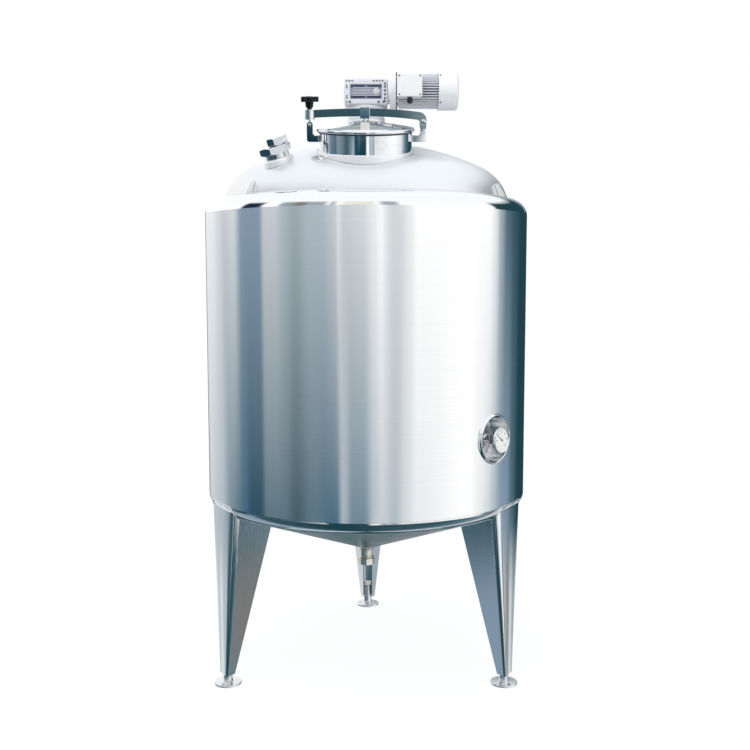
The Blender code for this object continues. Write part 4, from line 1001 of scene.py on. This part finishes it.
# Painted shade of the grooves cast into the panel: dark bars laid in them, two long ones, each pinched by a
# small diamond in the middle
groove_shade_paint = cast("groove_shadow", (0.035, 0.045, 0.1), 0.55, metallic=0.0)
grooves = []
for z in (2.346, 2.304):
    for half in (-1, 1):
        for drop in (-0.0025, 0.0025):
            middle_drop = drop * 2.0
            outline = [(half * 0.059, z + drop - 0.0017), (half * 0.059, z + drop + 0.0017),
                       (half * 0.007, z + drop + 0.0017), (half * 0.0015, z + middle_drop + 0.0008),
                       (half * 0.0015, z + middle_drop - 0.0008), (half * 0.007, z + drop - 0.0017)]
            bar = plate("groove", outline, 0.003)
            grooves.append(place(bar, shift(0, panel_y - 0.0008, 0)))
dress(join("painted_groove_shade", *grooves), groove_shade_paint, slot="cast_grey")


def socket_screw(name, x, z, radius=0.0042, y=face_y, tall=0.0035):
    """A socket head screw that faces the front."""
    line = [(0, tall * 0.35), (radius * 0.52, tall * 0.35), (radius * 0.52, tall), (radius * 0.86, tall),
            (radius, tall * 0.8), (radius, -0.0005), (0, -0.0005)]
    return turned(name, line, 24, at=shift(x, y, z) @ ACROSS)


top_row = [(x, 2.3665, 0.003) for x in (-0.078, -0.0665, -0.055, 0.031, 0.0425, 0.054, 0.0655)]
right_row = [(0.0745, z, 0.004) for z in (2.3555, 2.344, 2.329, 2.314, 2.299, 2.288)]
low_row = [(x, 2.285, 0.0045) for x in (-0.064, 0.05, 0.069)]
left_row = [(-0.0765, z, 0.0028) for z in (2.348, 2.34, 2.308, 2.3, 2.285)]
case_screws = [socket_screw("case_screw", *spot) for spot in (*top_row, *right_row, *low_row, *left_row)]
dress(join("case_screws", *case_screws), dark_bolt, slot="cast_grey")

COVER_H = 0.009
cover_low = GEARBOX_Z[1] + GAP
cover = turned("bearing_cover", [
    (0, cover_low + 0.006), (0.022, cover_low + 0.006), (0.024, COVER_H + GEARBOX_Z[1]),
    (COVER_R - 0.006, COVER_H + GEARBOX_Z[1]), (COVER_R - 0.003, COVER_H + GEARBOX_Z[1] - 0.0012),
    (COVER_R, GEARBOX_Z[1] + COVER_H - 0.005), (COVER_R, cover_low), (0, cover_low),
], 128, at=AXIS)
dress(cover, silver_cast, "gearbox_cover", slot="cast_grey")
COVER_SCREW_CIRCLE_R = 0.041
cover_screw = turned("cover_screw", [
    (0, 0.0012), (0.0022, 0.0012), (0.0022, 0.003), (0.0036, 0.003), (0.0042, 0.0022), (0.0042, -0.004),
    (0, -0.004),
], 24)
cover_seat = AXIS @ shift(0, 0, GEARBOX_Z[1] + COVER_H - 0.0026)
cover_screws = bolt_ring("cover_screws", cover_screw, 6, COVER_SCREW_CIRCLE_R, cover_seat, 30)
dress(cover_screws, dark_bolt, slot="cast_grey")
oil_plug = turned("oil_plug_head", [
    (0, 0.0075), (0.0035, 0.0075), (0.004, 0.01), (0.008, 0.01), (0.009, 0.0093), (0.0095, 0.008),
    (0.0095, GAP), (0, GAP),
], 64, at=plug_place)
plug_bright = steel("plug_bright", (0.86, 0.86, 0.84), 0.25, (800, 800, 800), depth=0.00002, cloud=60.0)
dress(oil_plug, plug_bright, "oil_plug", slot="instrument_steel")

# Motor. An aluminium motor flanged to the gearbox: a finned body, a pressed fan cowl with a grille at its
# end, and a terminal box with a black cable gland below it. Castings and cowl are in pale silver paint.
MOTOR_Y = -0.045
MOTOR_Z = 2.3327
MOTOR_R = 0.068
COWL_R = 0.074
COWL_X = (0.2865, 0.3655)
FLANGE_X = (0.095, 0.118)
FLANGE_R = 0.0745
BODY_X = 0.13
MOTOR_AT = shift(0, AXIS_Y + MOTOR_Y, MOTOR_Z) @ swing(90, "Y")
pale_cast = cast("pale_motor_paint", (0.8, 0.81, 0.835), 0.4, metallic=0.15)
flange = turned("motor_flange_ring", [
    (0, BODY_X), (0.058, BODY_X), (0.058, FLANGE_X[1] + 0.002), (0.06, FLANGE_X[1]),
    (FLANGE_R - 0.0015, FLANGE_X[1]), (FLANGE_R, FLANGE_X[1] - 0.0015), (FLANGE_R, FLANGE_X[0] + 0.0015),
    (FLANGE_R - 0.0015, FLANGE_X[0]), (0.05, FLANGE_X[0] - 0.001), (0.05, GEARBOX_X + GAP),
    (0, GEARBOX_X + GAP),
], 144, at=MOTOR_AT)
dress(flange, pale_cast, "motor_flange", slot="cast_grey")
BOLT_CIRCLE_R = 0.0675
flange_bolt = hexagon("flange_bolt", 0.0062, FLANGE_X[1], FLANGE_X[1] + 0.006)
flange_bolts = bolt_ring("flange_bolts", flange_bolt, 16, BOLT_CIRCLE_R, MOTOR_AT, 11.25)
dress(flange_bolts, dark_bolt, slot="cast_grey")

FIN_H = 0.0085
MOTOR_FINS = 40
FIN_STEPS = ((0.0, FIN_H), (0.3, FIN_H), (0.58, FIN_H), (0.64, 0.0006), (0.72, 0.0), (0.86, 0.0),
             (0.94, 0.0006))
fin_line = []
for i in range(MOTOR_FINS):
    for share, drop in FIN_STEPS:
        fin_line.append(polar(MOTOR_R - drop, 2 * math.pi * (i + share) / MOTOR_FINS))
body_half = (COWL_X[0] - BODY_X - 2 * GAP) / 2
body_middle = shift(BODY_X + GAP + body_half, AXIS_Y + MOTOR_Y, MOTOR_Z)
fins = plate("motor_fins", fin_line, 2 * body_half, at=body_middle @ swing(90, "Z"))
fin_paint = cast("fin_paint", (0.76, 0.78, 0.82), 0.42, metallic=0.15)
# Painted shade: the floors of the gaps between the fins are painted dark, standing in for the shade that
# falls between them.
fin_shade = cast("painted_shade_between_fins", (0.1, 0.14, 0.2), 0.6, metallic=0.0)
dress(fins, [fin_paint, fin_shade], "motor_body", slot="cast_grey", angle=20.0)
# Faces deep between the fins that face sideways take the painted shade.
for face in fins.data.polygons:
    out = math.hypot(face.center.y - AXIS_Y - MOTOR_Y, face.center.z - MOTOR_Z)
    face.material_index = 1 if out < MOTOR_R - 0.6 * FIN_H and abs(face.normal.x) < 0.5 else 0

COWL_EDGE_R = 0.012
cowl = turned("cowl_shell", [
    (0, COWL_X[1] - 0.004), (0.05, COWL_X[1] - 0.004), (0.052, COWL_X[1] - 0.0005), (0.054, COWL_X[1]),
    (COWL_R - 0.015, COWL_X[1]),
    *arc(COWL_R - COWL_EDGE_R, COWL_X[1] - COWL_EDGE_R, COWL_EDGE_R, 84, 0, 10), (COWL_R, COWL_X[0] + 0.01),
    (COWL_R, COWL_X[0]), (COWL_R - 0.0016, COWL_X[0]), (COWL_R - 0.0016, COWL_X[0] + 0.003),
    (0, COWL_X[0] + 0.003),
], 144, at=MOTOR_AT)
GRILLE_RINGS = 5
grille = [cowl]
for i in range(GRILLE_RINGS):
    reach = 0.012 + 0.0088 * i
    ring_line = turned("grille_ring", [(reach + 0.0016, COWL_X[1] - 0.0006),
                                       (reach + 0.0016, COWL_X[1] - 0.0045),
                                       (reach - 0.0016, COWL_X[1] - 0.0045),
                                       (reach - 0.0016, COWL_X[1] - 0.0006)], 96)
    grille.append(place(ring_line, MOTOR_AT))
for i in range(8):
    spoke = block("grille_spoke", (0.004, -0.0014, COWL_X[1] - 0.0045), (0.053, 0.0014, COWL_X[1] - 0.0004))
    grille.append(place(spoke, MOTOR_AT @ swing(45 * i, "Z")))
dress(join("cowl_shell", *grille), pale_cast, "fan_cowl", slot="cast_grey")
cowl_screws = []
for i in range(4):
    turn = math.radians(45 + 90 * i)
    screw = turned("cowl_screw", [(0, 0.0022), (0.0024, 0.002), (0.0038, 0.0008), (0.004, 0), (0, 0)], 24)
    out = Vector((0, math.cos(turn), math.sin(turn)))
    turn_out = out.to_track_quat("Z", "Y").to_matrix().to_4x4()
    at = Vector((COWL_X[0] + 0.0075, AXIS_Y + MOTOR_Y, MOTOR_Z)) + out * COWL_R
    cowl_screws.append(place(screw, shift(*at) @ turn_out))
dress(join("cowl_screws", *cowl_screws), dark_bolt, slot="cast_grey")

BOX_X = (0.1215, 0.22)
BOX_Z = (2.2936, 2.3815)
BOX_PROUD = 0.037
box_front = AXIS_Y + MOTOR_Y - MOTOR_R - BOX_PROUD
LID_DEPTH = 0.014
box_body = block("box_body", (BOX_X[0] + 0.0015, box_front + LID_DEPTH, BOX_Z[0] + 0.0015),
                 (BOX_X[1] - 0.0015, AXIS_Y + MOTOR_Y - MOTOR_R / 2, BOX_Z[1] - 0.0015))
soften(box_body, 0.004, 3)
cut(box_body, plug("motor_form", MOTOR_R + GAP, GEARBOX_X, COWL_X[0], MOTOR_AT, 96))
box_lid = block("box_lid", (BOX_X[0], box_front, BOX_Z[0]),
                (BOX_X[1], box_front + LID_DEPTH - 0.0012, BOX_Z[1]))
soften(box_lid, 0.0035, 4)
dress(join("terminal_housing", box_body, box_lid), pale_cast, "terminal_box", slot="cast_grey")
box_seal = block("box_seal", (BOX_X[0] + 0.0022, box_front + LID_DEPTH - 0.0016, BOX_Z[0] + 0.0022),
                 (BOX_X[1] - 0.0022, box_front + LID_DEPTH + 0.0006, BOX_Z[1] - 0.0022))
dress(box_seal, seal_rubber, slot="rubber_seal")
box_screws = []
for x in (BOX_X[0] + 0.0085, BOX_X[1] - 0.0085):
    for z in (BOX_Z[0] + 0.0085, BOX_Z[1] - 0.0085):
        box_screws.append(socket_screw("box_screw", x, z, 0.0032, box_front, 0.0018))
dress(join("box_screws", *box_screws), dark_bolt, slot="cast_grey")
gland_place = shift(sum(BOX_X) / 2 + 0.00125, box_front + BOX_PROUD / 2 + 0.0005, BOX_Z[0] - GAP)
gland_black = moulded("gland_plastic", (0.013, 0.014, 0.017), 0.38, grain=1500.0, depth=0.00004)
gland_neck = turned("gland_neck", [(0, 0), (0.0095, 0), (0.0095, -0.0055), (0, -0.0055)], 64)
gland_nut = hexagon("gland_nut", 0.0128, -0.011, -0.0045)
gland_dome = turned("gland_dome", [(0, -0.0105), (0.0112, -0.0105), (0.0118, -0.0125), (0.0114, -0.0165),
                                   (0.0095, -0.0205), (0.008, -0.0225), (0.0058, -0.0225), (0.0055, -0.018),
                                   (0, -0.018)], 64)
gland = place(join("gland_body", gland_neck, gland_nut, gland_dome), gland_place)
dress(gland, gland_black, "cable_gland", slot="black_plastic")

# Agitator. A ground stainless shaft that hangs from the gearbox, and a hub with four pitched blades welded
# to it, near the cone. It is seen only through an open lid.
IMPELLER_Z = 0.82
HUB_R = 0.034
BLADE_REACH = 0.2
shaft = turned("drive_shaft", [
    (0, SHAFT_TOP_Z), (SHAFT_R - 0.001, SHAFT_TOP_Z), (SHAFT_R, SHAFT_TOP_Z - 0.001), (SHAFT_R, 1.5),
    (SHAFT_R, 0.645), (SHAFT_R - 0.004, 0.64), (0, 0.64),
], 96, at=AXIS)
dress(shaft, bright_steel, "agitator_shaft", body="agitator")
impeller_parts = [turned("blade_hub", [
    (SHAFT_R + GAP, 0.035), (HUB_R - 0.003, 0.035), (HUB_R, 0.032), (HUB_R, -0.032),
    (HUB_R - 0.003, -0.035), (SHAFT_R + GAP, -0.035),
], 96)]
for i in range(4):
    blade = soften(block("blade", (HUB_R - 0.006, -0.003, -0.038), (BLADE_REACH, 0.003, 0.038)), 0.0012, 2)
    place(blade, swing(90 * i, "Z") @ swing(45, "X"))
    impeller_parts.append(blade)
impeller = place(join("pitched_blades", *impeller_parts), AXIS @ shift(0, 0, IMPELLER_Z))
dress(impeller, collar_satin, "impeller", body="agitator")

# Inner vessel. The drum and cone that hold the product, welded up from stainless plate and ground inside.
# It shows through an open lid and at the bottom of the thermometer's port.
SHELL_PLATE = 0.004
INNER_CONE_Z = 0.519
vessel_satin = steel("ground_vessel", (0.8, 0.82, 0.83), 0.3, (4, 4, 300), depth=0.00006)


def inner_cone_z(radius, drop=0.0):
    return INNER_CONE_Z + radius * math.tan(CONE_SLOPE) - drop


vessel_foot = inner_cone_z(VESSEL_R) + GAP
inner_r = VESSEL_R - SHELL_PLATE
inner_drum = turned("vessel_drum", [
    (VESSEL_R, HEAD_Z - GAP), *[(VESSEL_R, HEAD_Z - (HEAD_Z - vessel_foot) * i / 8) for i in range(1, 8)],
    (VESSEL_R, vessel_foot), (inner_r, vessel_foot),
    *[(inner_r, vessel_foot + (HEAD_Z - vessel_foot) * i / 8) for i in range(1, 8)], (inner_r, HEAD_Z - GAP),
], WALL_STEPS, at=AXIS)
dress(inner_drum, vessel_satin, "inner_shell")
cone_plate = HEAD_PLATE / math.cos(CONE_SLOPE)
inner_cone = turned("vessel_cone", [
    (VESSEL_R, inner_cone_z(VESSEL_R)), (VESSEL_R, inner_cone_z(VESSEL_R, cone_plate)),
    (0.3, inner_cone_z(0.3, cone_plate)), (OUTLET_R + GAP, inner_cone_z(OUTLET_R, cone_plate)),
    (OUTLET_R + GAP, inner_cone_z(OUTLET_R)), (0.3, inner_cone_z(0.3)),
], WALL_STEPS, at=AXIS)
dress(inner_cone, vessel_satin, "inner_cone")

# Thermometer port. A tube of five-millimetre wall let into the jacket and polished, its lip rounded and
# welded to the wall.
PORT_FACE = 0.655
PORT_INSIDE = 0.56
SLEEVE_WALL = 0.005
sleeve = turned("port_tube", [
    *arc(PORT_R - SLEEVE_WALL / 2, PORT_FACE - SLEEVE_WALL / 2, SLEEVE_WALL / 2, 180, 0, 13),
    (PORT_R, 0.62), (PORT_R, PORT_INSIDE), (PORT_R - SLEEVE_WALL, PORT_INSIDE),
    (PORT_R - SLEEVE_WALL, 0.62),
], 144, at=PORT)


def vessel_form(name):
    wide = VESSEL_R + GAP
    line = [(0, WALL_TOP_Z), (wide, WALL_TOP_Z), (wide, WALL_BOTTOM_Z), (0, WALL_BOTTOM_Z)]
    return turned(name, line, 288, at=AXIS)


cut(sleeve, vessel_form("vessel_form"))
dress(sleeve, mirror, "port_sleeve", slot="polished_stainless")


def on_wall(reach, z):
    """A point on the drum, found from its place in the port's own frame."""
    return tuple(PORT @ Vector((reach, z, math.sqrt(SHELL_R ** 2 - reach ** 2))))


port_seam = [on_wall(*polar(PORT_R + 0.0012, math.radians(3 * i))) for i in range(120)]
port_weld = bead("port_weld", port_seam, 0.0022)
dress(port_weld, mirror, slot="polished_stainless")

# Thermometer. A dial thermometer in a stainless case on a stem, screwed into a boss on the vessel. The face
# is white enamel with a printed scale from 0 to 120 degrees, and a black pointer.
DIAL_R = 0.0505
DIAL_BACK = 0.655
DIAL_FACE = 0.68
STEM_R = 0.009
stem_nut = hexagon("stem_nut", 0.016, 0.592, 0.606)
boss = turned("stem_boss", [(0, 0.592), (0.0205, 0.592), (0.022, 0.5905), (0.022, VESSEL_R - 0.007),
                            (0, VESSEL_R - 0.007)], 64)
case = turned("dial_case", [
    (0, DIAL_FACE - 0.0006), (DIAL_R - 0.0075, DIAL_FACE - 0.0006), (DIAL_R - 0.0062, DIAL_FACE + 0.0016),
    (DIAL_R - 0.0052, DIAL_FACE + 0.0032), (DIAL_R - 0.0036, DIAL_FACE + 0.0035),
    (DIAL_R - 0.0018, DIAL_FACE + 0.0034), (DIAL_R - 0.0005, DIAL_FACE + 0.0024),
    (DIAL_R, DIAL_FACE + 0.001), (DIAL_R, DIAL_FACE - 0.006), (DIAL_R - 0.0012, DIAL_FACE - 0.0068),
    (DIAL_R - 0.0012, DIAL_BACK + 0.004), (DIAL_R - 0.0022, DIAL_BACK + 0.001),
    (DIAL_R - 0.0045, DIAL_BACK), (0.014, DIAL_BACK), (0.012, DIAL_BACK - 0.006),
    (STEM_R, DIAL_BACK - 0.007), (STEM_R, 0.605), (0, 0.605),
], 144)
thermometer = place(join("dial_case", case, stem_nut, boss), PORT)
cut(thermometer, vessel_form("vessel_form"))
case_steel = steel("case_steel", (0.9, 0.91, 0.92), 0.05, (500, 500, 500), depth=0.00002, cloud=40.0)
dress(thermometer, case_steel, "thermometer", slot="instrument_steel")
dial_white = moulded("dial_enamel", (0.86, 0.87, 0.86), 0.32, grain=1200.0, depth=0.00001)
dial_face = turned("dial_face", [(0, DIAL_FACE - 0.0001), (DIAL_R - 0.0071, DIAL_FACE - 0.0001),
                                 (DIAL_R - 0.0074, DIAL_FACE - 0.0005), (0, DIAL_FACE - 0.0005)], 96, at=PORT)
dress(dial_face, dial_white, slot="instrument_steel")
dial_ink = moulded("dial_ink", (0.012, 0.014, 0.02), 0.45, grain=1500.0, depth=0.00001)
DIAL = PORT @ shift(0, 0, DIAL_FACE)
SCALE_START = math.radians(225)
SCALE_TURN = math.radians(270)
NUMBER_R = 0.03
marks = []
for i in range(61):
    turn = SCALE_START - SCALE_TURN * i / 60
    long_mark = i % 10 == 0
    half_w = 0.0004 if long_mark else 0.0002
    depth_in = 0.0055 if long_mark else (0.0038 if i % 5 == 0 else 0.0026)
    mark = block("mark", (0.0415 - depth_in, -half_w, 0), (0.0415, half_w, 0.0002))
    marks.append(place(mark, DIAL @ Matrix.Rotation(turn, 4, "Z")))
for i in range(7):
    turn = SCALE_START - SCALE_TURN * i / 6
    bpy.ops.object.select_all(action="DESELECT")
    bpy.ops.object.text_add()
    number = bpy.context.object
    number.data.body = str(20 * i)
    number.data.size = 0.0088
    number.data.extrude = 0.0001
    number.data.align_x = "CENTER"
    number.data.align_y = "CENTER"
    bpy.ops.object.convert(target="MESH")
    number = bpy.context.object
    marks.append(place(number, DIAL @ shift(*polar(NUMBER_R, turn), 0.0001)))
scale_print = moulded("scale_print", (0.3, 0.31, 0.33), 0.45, grain=1500.0, depth=0.00001)
dress(join("dial_scale", *marks), scale_print, slot="instrument_steel")
POINTER_TURN = 143
pointer_line = [(-0.0105, 0.0011), (-0.004, 0.0016), (0, 0.0014), (0.035, 0.0002)]
pointer = plate("pointer", [(x, -z) for x, z in pointer_line] + pointer_line[::-1], 0.0004,
                at=DIAL @ shift(0, 0, 0.0011) @ swing(POINTER_TURN, "Z") @ ACROSS)
hub_cap = turned("pointer_hub", [(0, 0.0022), (0.0022, 0.0021), (0.003, 0.0014), (0.003, 0), (0, 0)], 32)
dress(join("dial_pointer", pointer, place(hub_cap, DIAL)), dial_ink, slot="instrument_steel")

# Legs. Each is one four-millimetre plate folded into a tapering channel: a back rolled to the drum's radius
# and two flanges that lean in towards the axis. It is brushed up and down, cut to fit and welded on.
LEG_AZIMUTHS = {"left": -60.0, "right": 60.0, "rear": 180.0}
LEG_BOTTOM_Z = 0.04
LEG_TOP_Z = 0.705
LEG_PLATE = 0.004
LEG_BACK_HALF = (0.038, 0.121)
LEG_NOSE_HALF = 0.021
LEG_NOSE_R = (0.607, 0.4195)
FOLD_SHARE = 0.3
FOLD_STEPS = 10
LEG_ROWS = 24
leg_polish = steel("brushed_leg", (0.88, 0.9, 0.91), 0.11, (240, 240, 4), depth=0.00003, cloud=5.0,
                   spread=0.05)


def leg_section(z):
    """Outer line of a leg at a height, from one inner edge round the back to the other."""
    share = (z - LEG_BOTTOM_Z) / (LEG_TOP_Z - LEG_BOTTOM_Z)
    half = LEG_BACK_HALF[0] + share * (LEG_BACK_HALF[1] - LEG_BACK_HALF[0])
    nose = LEG_NOSE_R[0] + share * (LEG_NOSE_R[1] - LEG_NOSE_R[0])
    fold = FOLD_SHARE * half
    spread = math.degrees(math.asin(half / SHELL_R))
    flat_spread = spread - math.degrees(fold / SHELL_R)
    back = arc(0, 0, SHELL_R, -90 - flat_spread, -90 + flat_spread, 25)
    inner = Vector((-LEG_NOSE_HALF, -nose))
    corner = Vector(arc(0, 0, SHELL_R, -90 - spread, -90, 2)[0])
    fold_start = corner + (inner - corner).normalized() * fold
    sides = [tuple(inner.lerp(fold_start, i / 4)) for i in range(4)]
    for i in range(FOLD_STEPS):
        share = i / FOLD_STEPS
        ends = fold_start.lerp(corner, share), corner.lerp(Vector(back[0]), share)
        sides.append(tuple(ends[0].lerp(ends[1], share)))
    return [*sides, *back, *[(-x, y) for x, y in reversed(sides)]]


def under_jacket(radius):
    """Height of the jacket's underside at a radius."""
    if radius < corner_end[0]:
        return cone_z(radius)
    side = min(radius - (SHELL_R - CORNER_R), CORNER_R)
    return bottom_z - math.sqrt(CORNER_R ** 2 - side ** 2)


def jacket_form():
    return turned("jacket_form", [
        (0, 0.99), (SHELL_R + 0.25, 0.99), (SHELL_R + 0.25, WALL_BOTTOM_Z + 0.001),
        (SHELL_R + GAP, WALL_BOTTOM_Z),
        *arc(SHELL_R - CORNER_R, bottom_z, CORNER_R + GAP, 0, corner_turn, 16)[1:], (0, cone_z(0) - GAP),
    ], WALL_STEPS, at=AXIS)


def standing(azimuth):
    """The turn that carries a piece built at the front round to its azimuth."""
    return AXIS @ swing(azimuth, "Z")


low_line = chain("leg_plate", [(x, y, LEG_BOTTOM_Z) for x, y in leg_section(LEG_BOTTOM_Z)])
bpy.ops.object.mode_set(mode="OBJECT")
high_line = chain("leg_top_line", [(x, y, LEG_TOP_Z) for x, y in leg_section(LEG_TOP_Z)])
bpy.ops.object.mode_set(mode="OBJECT")
leg_model = join("leg_plate", low_line, high_line)
bpy.ops.object.mode_set(mode="EDIT")
bpy.ops.mesh.select_all(action="SELECT")
bpy.ops.mesh.bridge_edge_loops(number_cuts=LEG_ROWS, interpolation="LINEAR")
close_up()
if sum(face.normal.y * face.area for face in leg_model.data.polygons) > 0:
    leg_model.data.flip_normals()
skin = leg_model.modifiers.new("Plate", "SOLIDIFY")
skin.thickness = LEG_PLATE
skin.offset = -1.0
skin.use_even_offset = True
apply_all(leg_model)
FOOT_R = 0.053
FOOT_PLATE = 0.008
POST_R = 0.018
POST_TOP_Z = 0.1
foot_circle_r = SHELL_R - LEG_PLATE - GAP - POST_R
foot_model = turned("foot_plate", [
    (0, POST_TOP_Z), (POST_R - 0.001, POST_TOP_Z), (POST_R, POST_TOP_Z - 0.001),
    (POST_R, FOOT_PLATE + 0.0045), (POST_R + 0.0008, FOOT_PLATE + 0.0022),
    (POST_R + 0.0035, FOOT_PLATE + 0.0006), (FOOT_R - 0.003, FOOT_PLATE - 0.0008),
    (FOOT_R - 0.001, FOOT_PLATE - 0.0016), (FOOT_R, FOOT_PLATE - 0.0034), (FOOT_R, 0.0008),
    (FOOT_R - 0.0008, 0), (0, 0),
], 96)
for side in (-1, 1):
    cut(foot_model, plug("bolt_hole", 0.0055, -0.01, 0.03, shift(side * 0.036, 0, 0), 32))
foot_steel = steel("foot_steel", (0.84, 0.86, 0.87), 0.26, (200, 200, 200), depth=0.00005, cloud=30.0)
for side, azimuth in LEG_AZIMUTHS.items():
    leg = copy_of(leg_model, f"plate_leg_{side}", standing(azimuth))
    cut(leg, jacket_form(), solver="MANIFOLD")
    dress(leg, leg_polish, f"leg_{side}")
    seam = []
    for i in range(len(leg_section(LEG_TOP_Z))):
        z = 0.69
        for _ in range(30):
            x, y = leg_section(z)[i]
            z = under_jacket(math.hypot(x, y))
        seam.append(tuple(standing(azimuth) @ Vector((x, y, z - 0.0008))))
    weld(f"leg_weld_{side}", seam, 0.0028, cyclic=False)
    foot_place = standing(azimuth) @ shift(0, -foot_circle_r, 0)
    dress(copy_of(foot_model, f"round_foot_{side}", foot_place), foot_steel, f"foot_{side}")
for model in (leg_model, foot_model):
    bpy.data.objects.remove(model, do_unlink=True)

# Lifting lugs. Three small three-cornered plates welded in the angle between the head and the shoulder.
LUG_AZIMUTHS = {"left": -47.0, "right": 62.0, "rear": 187.5}
LUG_PLATE = 0.008
lug_foot_angle = math.degrees(math.asin((SHOULDER_Z + GAP - HEAD_Z) / (KNUCKLE_R + 2 * GAP)))
for side, azimuth in LUG_AZIMUTHS.items():
    lifting = plate(f"lug_plate_{side}", [
        (0.606, SHOULDER_Z + GAP),
        *arc(VESSEL_R - KNUCKLE_R, HEAD_Z, KNUCKLE_R + 2 * GAP, lug_foot_angle, 28, 12), (0.564, 1.948),
        (0.5705, 1.9475), (0.577, 1.943),
    ], LUG_PLATE)
    soften(lifting, 0.001, 2)
    place(lifting, AXIS @ swing(azimuth - 90, "Z"))
    dress(lifting, mirror, f"lifting_lug_{side}")

# Outlet. A stainless tube from the point of the cone with two pressed beads, ended by a union nut.
OUTLET_Z = 0.392
OUTLET_BORE_R = 0.021
BEAD_R = 0.0293
BEADS_Z = ((0.451, 0.456), (0.4185, 0.4235))
NUT_Z = (0.39, 0.4165)
NUT_R = 0.0345
outlet_line = [(OUTLET_R, inner_cone_z(OUTLET_R))]
for low, high in BEADS_Z:
    middle = (low + high) / 2
    outlet_line += [(OUTLET_R, high + 0.002), (BEAD_R - 0.001, high + 0.0004), (BEAD_R, middle + 0.0015),
                    (BEAD_R, middle - 0.0015), (BEAD_R - 0.001, low - 0.0004), (OUTLET_R, low - 0.002)]
outlet = turned("outlet_tube", [
    *outlet_line, (OUTLET_R, OUTLET_Z + 0.0006), (OUTLET_R - 0.0006, OUTLET_Z), (OUTLET_BORE_R, OUTLET_Z),
    (OUTLET_BORE_R, inner_cone_z(OUTLET_R)),
], 96, at=AXIS)
# The stainless stub and its nut carry a warm tint: a painted golden reflection of the surroundings, not a
# colour of the steel.
outlet_warm_reflection = steel("outlet_painted_warm_reflection", (0.86, 0.8, 0.7), 0.18, (300, 300, 300), depth=0.00003, cloud=70.0)
dress(outlet, outlet_warm_reflection, "outlet_stub")
outlet_nut = hexagon("outlet_union", NUT_R, *NUT_Z, 8)
cut(outlet_nut, plug("nut_bore", OUTLET_R + GAP, 0, WALL_BOTTOM_Z, Matrix.Identity(4), 96))
place(outlet_nut, AXIS)
dress(outlet_nut, outlet_warm_reflection, "outlet_nut", slot="polished_stainless")
weld("outlet_weld", ring_points(OUTLET_R + 0.0015, cone_z(OUTLET_R) - 0.0012, 60), 0.0026)
